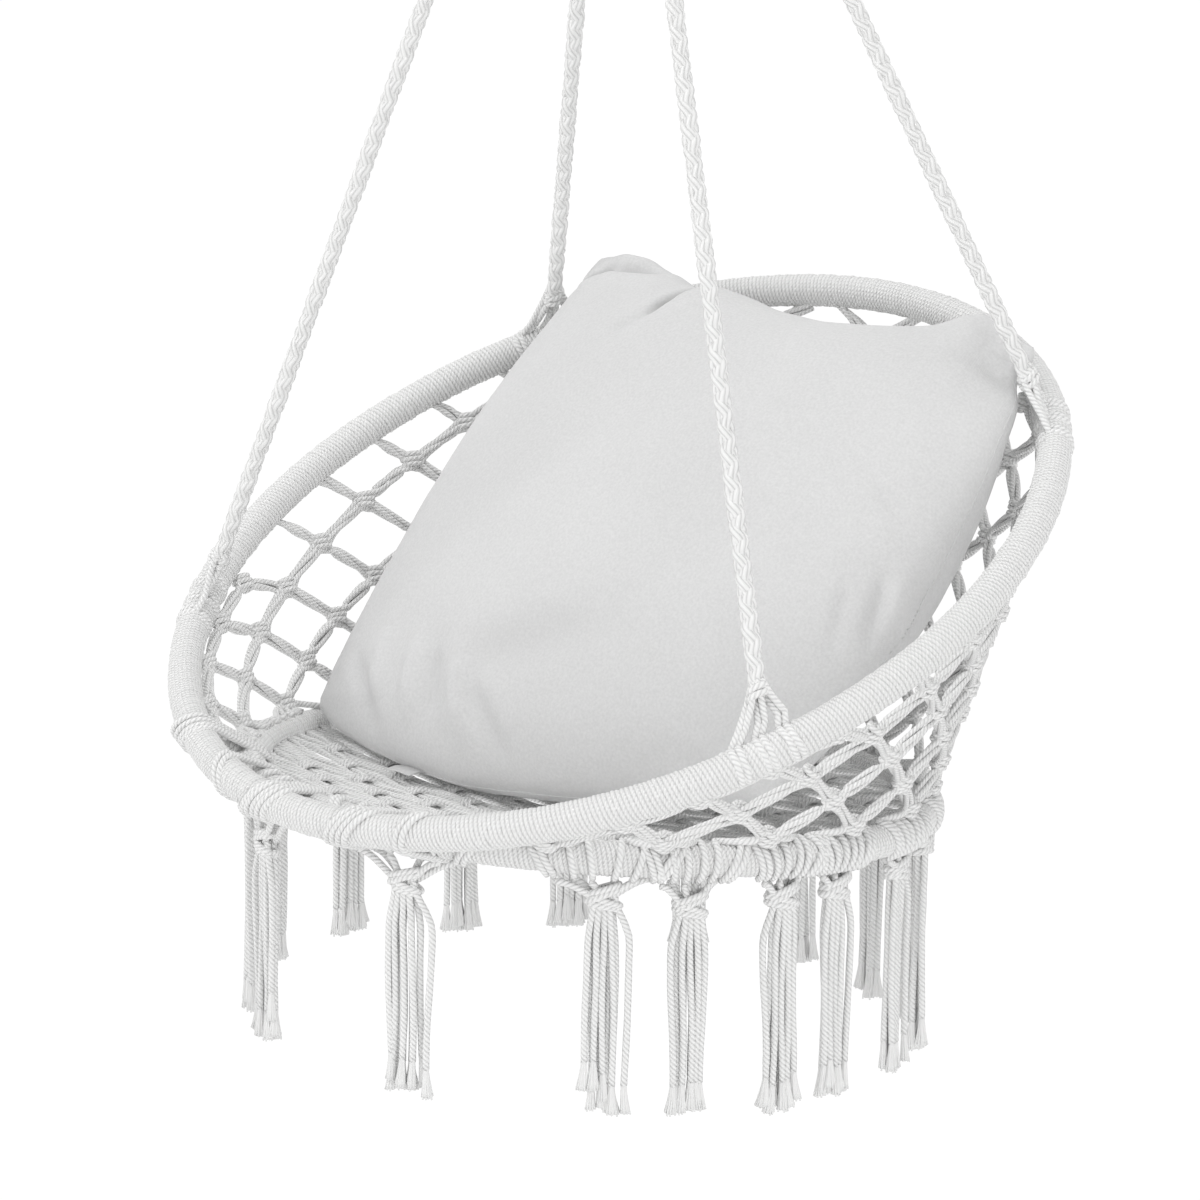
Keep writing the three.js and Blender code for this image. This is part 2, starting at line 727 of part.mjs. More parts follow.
// A closed body through rings of points, each end closed with a fan.
function loft(rings) {
  const count = rings[0].length;
  const points = rings.flat();
  const triangles = [];
  for (let ring = 0; ring < rings.length - 1; ring += 1) {
    for (let i = 0; i < count; i += 1) {
      const a = ring * count + i;
      const b = ring * count + (i + 1) % count;
      triangles.push([a, b, b + count]);
      triangles.push([a, b + count, a + count]);
    }
  }
  const addFan = (first, flip) => {
    const middle = new THREE.Vector3();
    for (let i = 0; i < count; i += 1) middle.addScaledVector(points[first + i], 1 / count);
    points.push(middle);
    for (let i = 0; i < count; i += 1) {
      const a = first + i;
      const b = first + (i + 1) % count;
      triangles.push(flip ? [b, a, points.length - 1] : [a, b, points.length - 1]);
    }
  };
  addFan(0, true);
  addFan((rings.length - 1) * count, false);
  return trianglesGeometry(points, triangles);
}

// Tassels: a knot, a neck and a fluted skirt of cord ends, widest along the hoop.
function tasselRing(drop, halfWidth, halfDepth, fluteShare) {
  const ring = [];
  for (let i = 0; i < tasselPoints; i += 1) {
    const angle = -(i / tasselPoints) * fullTurn;
    const share = i % 2 === 0 ? 1 : fluteShare;
    ring.push(new THREE.Vector3(halfDepth * cos(angle) * share, halfWidth * sin(angle) * share, -drop));
  }
  return ring;
}

function tasselGeometry(length, spreadShare) {
  const halfWidth = tasselHalfWidth * spreadShare;
  const skirtStart = tasselNeckDrop + tasselKnot;
  return loft([
    tasselRing(0, tasselTop, tasselTop, 1),
    tasselRing(tasselKnotDrop, tasselKnot, tasselKnot, 1),
    tasselRing(tasselNeckDrop, tasselNeck, tasselNeck, 1),
    tasselRing(skirtStart, (halfWidth + tasselNeck) / 2, tasselNeck, tasselFluteShare),
    tasselRing(length, halfWidth, tasselHalfDepth, tasselFluteShare),
  ]);
}

tasselTable.forEach(({ degrees, lengthShare, spreadShare }, index) => {
  const angle = rad(degrees);
  const tassel = addPiece(
    `tassel_${String(index + 1).padStart(2, '0')}`,
    tasselGeometry(tasselLength * lengthShare, spreadShare), cottonCord);
  tassel.position.copy(hoopPoint(seatHoop, angle));
  tassel.position.z -= seatWrapRadius + tasselGap;
  tassel.rotation.z = angle;
});

// Cushion: one outline and thickness rule serves the cover's two skins, the zip and the filling.
// Its own frame has x across, y up the lean and z towards the front, and side is 1 on the front skin.
// Its right side is slack: it swells outwards, and behind its edge the cloth stands nearly square.
// The draw rounds the four corners.
function cushionPoint(u, v, side, inset) {
  const draw = cushionCornerDraw * abs(u * v) ** cushionCornerPower;
  const swell = (u > 0 ? cushionRightBelly : cushionLeftBelly) * (1 - v * v);
  const sideways = cushionHalfWidth + swell - draw - inset;
  const bulge = v > 0 ? -cushionTopDraw : cushionBelly;
  const upward = cushionHalfHeight + bulge * (1 - u * u) - draw - inset;
  const sideFullness = u > 0 && side < 0 ? cushionSlackFullnessShare : cushionFullnessShare;
  const fullness = (1 - u * u) ** sideFullness * (1 - v * v) ** cushionFullnessShare;
  const thickness = max(0, cushionHalfThickness * fullness - inset * min(1, fullness * insetOnsetShare));
  return new THREE.Vector3(u * sideways, v * upward, side * thickness);
}

function edgeSpread(index, cells) {
  return sin((index / cells * 2 - 1) * quarterTurn);
}

// Points of a closed cushion skin: the front and back grids share their edge.
function cushionSkin(cells, inset) {
  const points = [];
  const ids = new Map();
  const idOf = (i, j, side) => {
    const edge = i === 0 || j === 0 || i === cells || j === cells;
    const key = `${i},${j},${edge ? 0 : side}`;
    if (!ids.has(key)) {
      ids.set(key, points.length);
      points.push(cushionPoint(edgeSpread(i, cells), edgeSpread(j, cells), side, inset));
    }
    return ids.get(key);
  };
  return { points, idOf };
}

function isZipCell(i, j, side) {
  return side < 0 && j === zipRow && i >= zipFirstCell && i <= zipLastCell;
}

function skinQuads(cells, idOf, skip) {
  const quads = [];
  for (const side of [-1, 1]) {
    for (let i = 0; i < cells; i += 1) {
      for (let j = 0; j < cells; j += 1) {
        if (skip(i, j, side)) continue;
        const quad = [[i, j], [i + 1, j], [i + 1, j + 1], [i, j + 1]].map(([a, b]) => idOf(a, b, side));
        quads.push(side > 0 ? quad : quad.reverse());
      }
    }
  }
  return quads;
}

// A hollow skin of one wall, open behind where the zip goes. Both skins fill their points in one order.
function hollowSkin(outerInset, wall) {
  const outer = cushionSkin(coverCells, outerInset);
  const inner = cushionSkin(coverCells, outerInset + wall);
  const quads = skinQuads(coverCells, outer.idOf, isZipCell);
  skinQuads(coverCells, inner.idOf, isZipCell);
  return { quads, outer: outer.points, inner: inner.points };
}

function buildCover() {
  const { quads, outer, inner } = hollowSkin(0, coverThickness);
  return thicken(quads, outer, inner);
}

function buildZip() {
  const outer = cushionSkin(coverCells, 0);
  const inner = cushionSkin(coverCells, coverThickness);
  const sides = [];
  for (const skin of [outer, inner]) {
    const bottom = [];
    const top = [];
    for (let i = zipFirstCell; i <= zipLastCell + 1; i += 1) {
      bottom.push(skin.points[skin.idOf(i, zipRow, -1)].clone());
      top.push(skin.points[skin.idOf(i, zipRow + 1, -1)].clone());
    }
    sides.push({ bottom, top });
  }
  const [outerSide, innerSide] = sides;
  const insetPair = (a, b, gap) => {
    const step = b.clone().sub(a).setLength(gap);
    a.add(step);
    b.sub(step);
  };
  const edgeGap = 2 * touchGap;
  for (const { bottom, top } of sides) {
    bottom.forEach((point, i) => insetPair(point, top[i], edgeGap));
    for (const row of [bottom, top]) {
      row[0].lerp(row[1], edgeGap / row[0].distanceTo(row[1]));
      const last = row.length - 1;
      row[last].lerp(row[last - 1], edgeGap / row[last].distanceTo(row[last - 1]));
    }
  }
  return loft(outerSide.bottom.map((point, i) => (
    [point, outerSide.top[i], innerSide.top[i], innerSide.bottom[i]])));
}

// The filling is a hollow of wadding, open behind, because loose fibre has a tenth of cloth's weight.
function buildFilling() {
  const share = new THREE.Vector3(fillingEdgeShare, fillingEdgeShare, fillingDepthShare);
  const { quads, outer, inner } = hollowSkin(coverThickness + coverGap, fillingWall);
  for (const point of [...outer, ...inner]) point.multiply(share);
  return thicken(quads, outer, inner);
}

// The cushion rests on the web: its skin's least height above the web's top face is the rest gap.
function webTopZ(x, y) {
  const along = (y - seatHoop.centre.y) / cos(seatHoop.tilt);
  const share = hypot(x, along) / webDiscRadius;
  if (share > 1) return -Infinity;
  const above = webThickness / 2 - webSag * (1 - share * share);
  return seatHoop.centre.z + along * sin(seatHoop.tilt) + above * cos(seatHoop.tilt);
}

function cushionRestZ() {
  const { outer } = hollowSkin(0, coverThickness);
  const leaned = outer.map((point) => point.clone().applyAxisAngle(new THREE.Vector3(1, 0, 0), cushionLean));
  const heights = leaned.map((point) => point.z - webTopZ(point.x, point.y + cushionCentreY));
  return cushionRestGap - min(...heights);
}

const cushion = new THREE.Group();
cushion.position.set(0, cushionCentreY, cushionRestZ());
console.log(`cushion: centre at z ${cushion.position.z.toFixed(2)} mm`);
cushion.rotation.x = cushionLean;
hammockChair.add(cushion);

const label = new THREE.BoxGeometry(labelWidth, labelHeight, labelThickness);
label.translate(0, -labelHeight / 2, 0);
const labelMesh = new THREE.Mesh(label, cottonCloth);
labelMesh.name = 'care_label';
const labelShare = -labelOffset / cushionHalfWidth;
labelMesh.position.copy(cushionPoint(labelShare, -1, 1, 0));
labelMesh.position.y -= touchGap;
labelMesh.rotation.z = atan(2 * cushionBelly * labelShare / cushionHalfWidth);

for (const [name, geometry, material] of [
  ['cushion_cover', buildCover(), cottonCloth],
  ['cushion_filling', buildFilling(), fibreFill],
  ['cushion_zip', buildZip(), zipPlastic],
]) {
  const piece = new THREE.Mesh(geometry, material);
  piece.name = name;
  cushion.add(piece);
}
cushion.add(labelMesh);

export default hammockChair;
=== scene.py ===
# Hammock chair, dressed: plaited ropes, corded hoops, knotted net and seat web, tassels and a cotton cushion.
import math
import bpy
import numpy as np
from mathutils import Matrix, Vector
from mathutils.bvhtree import BVHTree


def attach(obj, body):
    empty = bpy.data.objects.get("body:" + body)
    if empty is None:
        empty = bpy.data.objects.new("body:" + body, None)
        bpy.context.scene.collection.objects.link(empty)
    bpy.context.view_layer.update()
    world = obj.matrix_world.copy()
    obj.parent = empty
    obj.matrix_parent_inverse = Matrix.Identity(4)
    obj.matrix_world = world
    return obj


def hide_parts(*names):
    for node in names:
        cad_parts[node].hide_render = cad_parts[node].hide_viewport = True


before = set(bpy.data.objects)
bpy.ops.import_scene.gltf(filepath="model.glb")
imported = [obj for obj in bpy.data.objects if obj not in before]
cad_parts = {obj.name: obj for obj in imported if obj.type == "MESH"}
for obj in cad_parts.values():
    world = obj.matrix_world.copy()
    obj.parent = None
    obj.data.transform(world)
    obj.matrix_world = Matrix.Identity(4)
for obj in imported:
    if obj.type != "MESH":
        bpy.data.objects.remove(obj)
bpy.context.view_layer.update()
rng = np.random.default_rng(11)
print("frame loaded")

# sizes shared by several pieces, in metres, with the radius of the CAD's straight chords
backHoop = {"radius": 0.3853, "tilt": math.radians(26.75), "wrap": 0.0146, "chordRadius": 0.386,
            "centre": np.array([0, 0.0109, -0.984])}
seatHoop = {"radius": 0.2875, "tilt": math.radians(-4.83), "wrap": 0.0140, "chordRadius": 0.288,
            "centre": np.array([0, -0.0166, -1.1875])}
chordSpan = 10  # degrees of a hoop to each chord
up = np.array([0.0, 0.0, 1.0])
fullTurn = 2 * math.pi


def hoopRadial(hoop, angle):
    angle, tilt = np.asarray(angle, dtype=float), hoop["tilt"]
    return np.stack([np.cos(angle), np.sin(angle) * math.cos(tilt), np.sin(angle) * math.sin(tilt)], -1)


def hoopTangent(hoop, angle):
    return hoopRadial(hoop, np.asarray(angle) + math.pi / 2)


def hoopNormal(hoop):
    return np.array([0, -math.sin(hoop["tilt"]), math.cos(hoop["tilt"])])


def hoopPoint(hoop, angle):
    return hoop["centre"] + hoop["radius"] * hoopRadial(hoop, angle)


def unit(v):
    return v / np.maximum(np.linalg.norm(v, axis=-1, keepdims=True), 1e-12)


def smooth(x):
    x = np.clip(x, 0, 1)
    return x * x * (3 - 2 * x)


def lay(origin, *offsets):
    # points at some distance from an origin, along one direction after another
    for direction, distance in offsets:
        origin = origin + direction * np.asarray(distance, dtype=float)[..., None]
    return origin


def runLength(line):
    return np.concatenate([[0], np.cumsum(np.linalg.norm(np.diff(line, axis=0), axis=-1))])


def dress(piece, material, body, nodes):
    piece.data.materials.clear()
    piece.data.materials.append(material)
    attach(piece, body)
    if nodes:
        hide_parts(*nodes)


# meshes of many cords
class Strands:
    # gathers tubes, with u along each cord and v once round it
    # the plain place lies partway down a ply, so untwisted ends take an even share of the painted groove
    # shade; the crest place takes none
    plainUv, crestUv = (0, 0.038), (0, 1 / 6)  # places on a twisted cord's lay for ends that show no plies

    def __init__(self):
        self.points, self.totals, self.corners, self.uvs = [], [], [], []
        self.count = 0

    def tubes(self, points, u, twisted=True, capUv=(0, 0)):
        # tubes given as cords by stations by sides, with closed ends
        n, m, sides, _ = points.shape
        ids = np.arange(n * m * sides).reshape(n, m, sides) + self.count
        self.count += n * m * sides
        a, b = ids[:, :-1], ids[:, 1:]
        quads = np.stack([a, np.roll(a, -1, 2), np.roll(b, -1, 2), b], -1).reshape(-1, 4)
        caps = np.concatenate([ids[:, 0, ::-1], ids[:, -1]])
        v0 = np.broadcast_to(np.arange(sides) / sides, a.shape)
        v1 = v0 + 1 / sides
        u0, u1 = (np.broadcast_to(end[..., None], a.shape) for end in (u[:, :-1], u[:, 1:]))
        uv = np.stack([u0, v0, u0, v1, u1, v1, u1, v0], -1).reshape(-1, 2)
        self.points.append(points.reshape(-1, 3))
        self.totals += [np.full(len(quads), 4), np.full(len(caps), sides)]
        self.corners += [quads.ravel(), caps.ravel()]
        self.uvs += [uv if twisted else np.zeros_like(uv) + self.plainUv, np.zeros((caps.size, 2)) + capUv]
        return self

    def add(self, paths, radius, sides=6, twisted=True):
        # round tubes that follow paths
        paths = np.asarray(paths, dtype=float)
        paths = paths.reshape(-1, *paths.shape[-2:])
        n, m, _ = paths.shape
        radius = np.broadcast_to(np.asarray(radius, dtype=float), (n, m))
        tangent = np.empty_like(paths)
        tangent[:, 1:-1] = paths[:, 2:] - paths[:, :-2]
        tangent[:, 0] = paths[:, 1] - paths[:, 0]
        tangent[:, -1] = paths[:, -1] - paths[:, -2]
        tangent = unit(tangent)
        normal = np.empty_like(paths)
        carried = np.where(np.abs(tangent[:, 0, 2:3]) > 0.9, [[1.0, 0, 0]], [[0, 0, 1.0]])
        for i in range(m):
            carried = unit(carried - tangent[:, i] * np.sum(carried * tangent[:, i], -1, keepdims=True))
            normal[:, i] = carried
        binormal = np.cross(tangent, normal)
        around = np.arange(sides) / sides * fullTurn
        ring = normal[:, :, None] * np.cos(around)[:, None] + binormal[:, :, None] * np.sin(around)[:, None]
        points = paths[:, :, None] + ring * radius[:, :, None, None]
        steps = np.linalg.norm(np.diff(paths, axis=1), axis=-1)
        u = np.concatenate([np.zeros((n, 1)), np.cumsum(steps, 1)], 1)
        return self.tubes(points, u, twisted, self.crestUv)

    def piece(self, name, material, body, nodes=(), slot="cotton_cord"):
        mesh = bpy.data.meshes.new(name)
        points, uvs = (np.concatenate(part).astype(np.float32) for part in (self.points, self.uvs))
        corners, totals = (np.concatenate(part).astype(np.int32) for part in (self.corners, self.totals))
        mesh.vertices.add(len(points))
        mesh.vertices.foreach_set("co", points.ravel())
        mesh.loops.add(len(corners))
        mesh.loops.foreach_set("vertex_index", corners)
        mesh.polygons.add(len(totals))
        mesh.polygons.foreach_set("loop_start", np.cumsum(totals, dtype=np.int32) - totals)
        mesh.polygons.foreach_set("loop_total", totals)
        mesh.uv_layers.new(name="lay").data.foreach_set("uv", uvs.ravel())
        mesh.polygons.foreach_set("use_smooth", np.ones(len(totals), dtype=bool))
        mesh.update(calc_edges=True)
        mesh.validate()
        piece = bpy.data.objects.new(name, mesh)
        bpy.context.scene.collection.objects.link(piece)
        dress(piece, material, body, nodes)
        print(f"{name}: {np.sum(totals - 2)} triangles")
        return piece


# materials
class Wire:
    # a node socket that can stand in sums
    def __init__(self, tree, socket):
        self.tree, self.socket = tree, socket

    def node(self, kind, settings=None, inputs=None, output=0):
        made = self.tree.nodes.new(kind)
        for key, value in (settings or {}).items():
            setattr(made, key, value)
        for key, value in (inputs or {}).items():
            if isinstance(value, Wire):
                self.tree.links.new(value.socket, made.inputs[key])
            else:
                made.inputs[key].default_value = value
        return Wire(self.tree, made.outputs[output])

    def math(self, operation, *others):
        return self.node("ShaderNodeMath", {"operation": operation}, dict(enumerate((self,) + others)))

    def __add__(self, other):
        return self.math("ADD", other)

    def __sub__(self, other):
        return self.math("SUBTRACT", other)

    def __rsub__(self, other):
        return self.node("ShaderNodeMath", {"operation": "SUBTRACT"}, {0: other, 1: self})

    def __mul__(self, other):
        return self.math("MULTIPLY", other)

    def __pow__(self, other):
        return self.math("POWER", other)

    __radd__ = __add__
    __rmul__ = __mul__

    def out(self, name):
        return Wire(self.tree, self.socket.node.outputs[name])

    def sine(self):
        return self.math("SINE")

    def size(self):
        return self.math("ABSOLUTE")

    def fraction(self):
        return self.math("FRACT")

    def clamp(self):
        return self.node("ShaderNodeClamp", {}, {0: self})

    def axes(self):
        return self.node("ShaderNodeSeparateXYZ", {}, {0: self})

    def blend(self, low, high):
        return self.node("ShaderNodeMix", {"data_type": "RGBA"}, {"Factor": self, 6: low, 7: high}, 2)

    def noise(self, scale, detail):
        return self.node("ShaderNodeTexNoise", {}, {"Vector": self, "Scale": scale, "Detail": detail})


def newMaterial(name, roughness, metallic=0.0):
    material = bpy.data.materials.new(name)
    material.use_nodes = True
    shader = material.node_tree.nodes["Principled BSDF"]
    shader.inputs["Roughness"].default_value = roughness
    shader.inputs["Metallic"].default_value = metallic
    return material, shader, Wire(material.node_tree, None)


def feed(wire, shader, name):
    wire.tree.links.new(wire.socket, shader.inputs[name])


def roughen(height, shader, strength, distance):
    inputs = {"Height": height, "Strength": strength, "Distance": distance}
    feed(height.node("ShaderNodeBump", {}, inputs), shader, "Normal")


def grey(shade):
    return (shade, shade, shade, 1)


cordLook = {"colour": (0.94, 0.94, 0.938, 1), "shade": (0.86, 0.86, 0.855, 1),
            "grooveShade": (0.60, 0.60, 0.595, 1), "sheen": 0.15, "sheenRoughness": 0.6, "specular": 0.25,
            "roughness": 0.82, "fibre": 850.0, "patch": 26.0}


def cottonBase(name):
    material, shader, start = newMaterial(name, 0.9)
    shader.inputs["Sheen Weight"].default_value = cordLook["sheen"]
    shader.inputs["Sheen Roughness"].default_value = cordLook["sheenRoughness"]
    shader.inputs["Specular IOR Level"].default_value = cordLook["specular"]
    return material, shader, start, start.node("ShaderNodeTexCoord", {}, {}, 3)


def cottonFinish(shader, position, height, grooveShade, depth, dull):
    # fine fibres on the plies, soft patches, and painted shade: a darker colour in the grooves between the
    # plies
    fibre = position.noise(cordLook["fibre"], 3.0)
    patch = position.noise(cordLook["patch"], 3.0)
    roughen(height + fibre * 0.3, shader, 0.85, depth)
    tone = (patch * 0.8 + fibre * 0.5 - 0.1).clamp()
    bright = tuple(a + (b - a) * dull for a, b in zip(cordLook["colour"], cordLook["shade"]))
    plain = tone.blend(cordLook["shade"], bright)
    # painted shade: the colour darkens toward a grey in the grooves between plies and turns
    feed(grooveShade.clamp().blend(plain, cordLook["grooveShade"]), shader, "Base Color")
    feed(fibre * 0.15 + (cordLook["roughness"] - 0.05), shader, "Roughness")


def cordMaterial(name, plies, plyPitch, depth, dark, dull):
    # twisted cotton: each ply runs slantwise along the cord, with u in metres and v once round
    material, shader, start, position = cottonBase(name)
    along = start.node("ShaderNodeUVMap", {"uv_map": "lay"}).axes()
    ply = ((along * (1 / plyPitch) + along.out("Y") * plies) * math.pi).sine().size()
    # painted shade in the grooves between the plies, scaled by dark
    cottonFinish(shader, position, ply, (1 - ply) ** 3.0 * dark, depth, dull)
    return material


def wrapMaterial(name, starts, plies, depth, dull):
    # close winding: u counts turns along the hoop, and each turn shows its own slanting plies
    material, shader, start, position = cottonBase(name)
    along = start.node("ShaderNodeUVMap", {"uv_map": "lay"}).axes()
    turns = along - along.out("Y") * starts
    rib = 1 - ((turns + 100.0).fraction() * 2 - 1).size()
    ply = ((along.out("Y") * plies + turns) * math.pi).sine().size()
    # painted shade: the colour darkens in the grooves between the turns and between the plies
    grooveShade = (1 - rib) ** 5.0 * 0.6 + (1 - ply) ** 3.0 * 0.35
    cottonFinish(shader, position, ply * 0.65 + rib * 0.6, grooveShade, depth, dull)
    return material


# the cushion's colours; the darkest grey is painted shade for the deep creases
clothLook = {"colour": grey(0.74), "shade": grey(0.60), "creaseShade": grey(0.38), "thread": 0.0013, "weave": 0.0006,
             "slub": 420.0, "broad": 9.0, "wrinkle": 30.0, "lean": math.radians(47.6)}


def clothMaterial(name):
    # fine plain-weave cotton on Object coordinates, laid square to the leaning cushion
    material, shader, start, position = cottonBase(name)
    inputs = {"Vector": position, "Rotation": (-clothLook["lean"], 0, 0)}
    across = position.node("ShaderNodeMapping", {}, inputs).axes()
    threads = fullTurn / clothLook["thread"]
    weave = (across * threads).sine() * (across.out("Y") * threads).sine()
    slub = position.noise(clothLook["slub"], 4.0)
    broad = position.noise(clothLook["broad"], 2.0)
    wrinkle = position.noise(clothLook["wrinkle"], 3.0)
    roughen(weave * 0.3 + slub * 0.7 + wrinkle * 1.2, shader, 0.5, clothLook["weave"])
    tone = (weave * 0.10 + slub * 1.3 + broad * 0.4 - 0.35).clamp()
    # painted shade: along the deep creases the cloth's colour darkens toward a dark grey, read from a point
    # attribute
    creaseShade = start.node("ShaderNodeAttribute", {"attribute_name": "creaseShade"}, {}, 2).clamp()
    plain = tone.blend(clothLook["shade"], clothLook["colour"])
    feed((creaseShade * 0.75).clamp().blend(plain, clothLook["creaseShade"]), shader, "Base Color")
    feed(slub * 0.1 + 0.82, shader, "Roughness")
    return material


def smoothMaterial(name, colour, roughness, metallic, grain):
    # metal or plastic with faint streaks
    material, shader, start = newMaterial(name, roughness, metallic)
    position = start.node("ShaderNodeTexCoord", {}, {}, 3)
    stretched = position.node("ShaderNodeMapping", {}, {"Vector": position, "Scale": (1, 1, 6)})
    streak = stretched.noise(grain, 4.0)
    feed(streak * 0.25 + (roughness - 0.12), shader, "Roughness")
    dark = tuple(c * 0.85 for c in colour) + (1,)
    feed(streak.blend(dark, colour + (1,)), shader, "Base Color")
    roughen(streak, shader, 0.15, 0.0002)
    return material


cordCotton = cordMaterial("cordCotton", 3, 0.0042, 0.0010, 0.6, 0.5)
strandCotton = cordMaterial("strandCotton", 6, 0.016, 0.0009, 0.9, 1.0)
wrapCotton = wrapMaterial("wrapCotton", 4, 24, 0.0011, 0.8)
cushionCotton = clothMaterial("cushionCotton")
ringSteel = smoothMaterial("ringSteel", (0.40, 0.41, 0.42), 0.32, 1.0, 220.0)
tubeSteel = smoothMaterial("tubeSteel", (0.78, 0.78, 0.77), 0.5, 0.6, 300.0)
zipPlastic = smoothMaterial("zipPlastic", (0.80, 0.80, 0.79), 0.42, 0.0, 260.0)
print("materials made")

# camera
cameraView = {"azimuth": 44.046, "elevation": 13.410, "roll": 0.698, "distance": 3.91795,
              "target": (-0.070738, 0.069959, -1.055524), "lens": 134.875, "sensor": 36.0, "farClip": 50.0}


def placeCamera():
    a, e, r = (math.radians(cameraView[key]) for key in ("azimuth", "elevation", "roll"))
    back = Vector((math.sin(a) * math.cos(e), -math.cos(a) * math.cos(e), math.sin(e)))
    right = Vector((math.cos(a), math.sin(a), 0))
    upward = back.cross(right)
    turnedRight = right * math.cos(r) + upward * math.sin(r)
    turnedUp = upward * math.cos(r) - right * math.sin(r)
    camera = bpy.data.objects.new("camera", bpy.data.cameras.new("camera"))
    place = Vector(cameraView["target"]) + back * cameraView["distance"]
    turn = Matrix((turnedRight, turnedUp, back)).transposed().to_4x4()
    camera.matrix_world = Matrix.Translation(place) @ turn
    camera.data.lens = cameraView["lens"]
    camera.data.sensor_width = cameraView["sensor"]
    camera.data.clip_end = cameraView["farClip"]
    bpy.context.scene.collection.objects.link(camera)
    bpy.context.scene.camera = camera


placeCamera()
print("camera placed")

# ropes
rope = {"diameter": 0.014, "gatherOffset": 0.0081, "gatherZ": -0.1424, "topZ": -0.1204, "forkHeight": 0.031,
        "strandRadius": 0.0045, "ringRadius": 0.0025, "weave": 0.0010, "pitch": 0.040, "step": 0.0022,
        "uneven": ((0.05, 61), (0.03, 173))}
# angle of each rope's foot on the back hoop, and the signs of its place in the gather
ropeFeet = {"front_left": (210, -1, -1), "front_right": (330, 1, -1),
            "back_right": (40, 1, 1), "back_left": (140, -1, 1)}


def chordPoint(hoop, degrees):
    # the hoop's middle line at the middle of one of its straight chords
    fromMiddle = math.radians(degrees - round(degrees / chordSpan) * chordSpan)
    reach = hoop["chordRadius"] * math.cos(math.radians(chordSpan / 2)) / math.cos(fromMiddle)
    return hoop["centre"] + reach * hoopRadial(hoop, math.radians(degrees))


def ropeLine(name):
    degrees, signX, signY = ropeFeet[name]
    foot = chordPoint(backHoop, degrees)
    gather = np.array([signX * rope["gatherOffset"], signY * rope["gatherOffset"], rope["gatherZ"]])
    rise = unit(gather - foot)
    fork = foot + rise * (backHoop["wrap"] + rope["forkHeight"])
    return foot, fork, gather, rise


def resample(points, step):
    points = np.asarray(points, dtype=float)
    lengths = runLength(points)
    at = np.linspace(0, lengths[-1], max(2, int(round(lengths[-1] / step)) + 1))
    return np.stack([np.interp(at, lengths, points[:, k]) for k in range(3)], -1), at


def layFrames(line):
    tangent = unit(np.gradient(line, axis=0))
    normal = np.empty_like(line)
    carried = np.array([1.0, 0, 0]) if abs(tangent[0, 2]) > 0.6 else up
    for i in range(len(line)):
        carried = unit(carried - tangent[i] * np.dot(carried, tangent[i]))
        normal[i] = carried
    return normal, np.cross(tangent, normal)


def plait(line, at, ringRadius, weave, pitch):
    # four strands, two each way round, passing over and under each other in turn
    normal, binormal = layFrames(line)
    paths = []
    for k in range(4):
        way = 1 if k % 2 == 0 else -1
        angle = way * (at / pitch * fullTurn) + (k // 2) * math.pi
        reach = ringRadius + way * weave * np.cos(2 * angle)
        paths.append(lay(line, (normal, reach * np.cos(angle)), (binormal, reach * np.sin(angle))))
    return np.stack(paths)


for name in ropeFeet:
    foot, fork, gather, rise = ropeLine(name)
    top = np.array([gather[0], gather[1], rope["topZ"]])
    lower, upper = (np.linspace(a, b, int(np.linalg.norm(b - a) / rope["step"]))
                    for a, b in ((fork, gather), (gather, top)))
    line = np.concatenate([lower, upper[1:]])
    at = runLength(line)
    (slowSize, slowRate), (fastSize, fastRate) = rope["uneven"]
    wobble = 1 + slowSize * np.sin(at * slowRate + len(name)) + fastSize * np.sin(at * fastRate)
    strands = Strands().add(plait(line, at, rope["ringRadius"], rope["weave"], rope["pitch"]),
                            rope["strandRadius"] * wobble, 8)
    piece = strands.piece(f"rope_{name}_plait", strandCotton, "chair", [f"rope_{name}"])
    length = np.linalg.norm(gather - fork) + np.linalg.norm(top - gather)
print("ropes plaited")

# hoop wraps, wound with several cords side by side, and the lashings where the ropes are tied on
wrapCord = {"pitch": 0.0038, "perTurn": 6, "sides": 24, "starts": 4, "depth": 0.0015, "jitter": 0.00022,
            "spare": 20}
lashing = {"cord": 0.0030, "legSpread": 0.0205, "legCords": 2, "sunk": 0.0010, "knotCord": 0.0027,
           "turns": 3.5, "pitch": 0.0054, "margin": 0.0048, "slant": 0.0012,
           "knots": ((0.0, 0.0078), (0.0056, 0.0072)), "knotSlant": 0.0015}
lashingHalf = lashing["turns"] * lashing["pitch"] / 2 + lashing["margin"]
lashingSpread = math.degrees(lashingHalf / backHoop["chordRadius"])


def windSleeve(hoop, start, end):
    sides, spare = wrapCord["sides"], wrapCord["spare"]
    turns = int(round(math.radians(end - start) * hoop["radius"] / wrapCord["pitch"]))
    u = np.linspace(0, turns, turns * wrapCord["perTurn"] + 1)
    angle = np.radians(start) + u / turns * math.radians(end - start)
    around = np.arange(sides) / sides * fullTurn
    phase = u[:, None] - wrapCord["starts"] * around / fullTurn
    across = (phase % 1) * 2 - 1
    jitter = rng.normal(0, wrapCord["jitter"], turns + spare)
    jitter = jitter[(np.floor(phase).astype(int) + spare // 2) % (turns + spare)]
    reach = hoop["wrap"] - wrapCord["depth"] * (1 - np.sqrt(np.clip(1 - across ** 2 * 0.96, 0, 1))) + jitter
    points = lay(hoopPoint(hoop, angle)[:, None], (hoopRadial(hoop, angle)[:, None], reach * np.cos(around)),
                 (hoopNormal(hoop), -reach * np.sin(around)))
    return Strands().tubes(points[None], u[None])


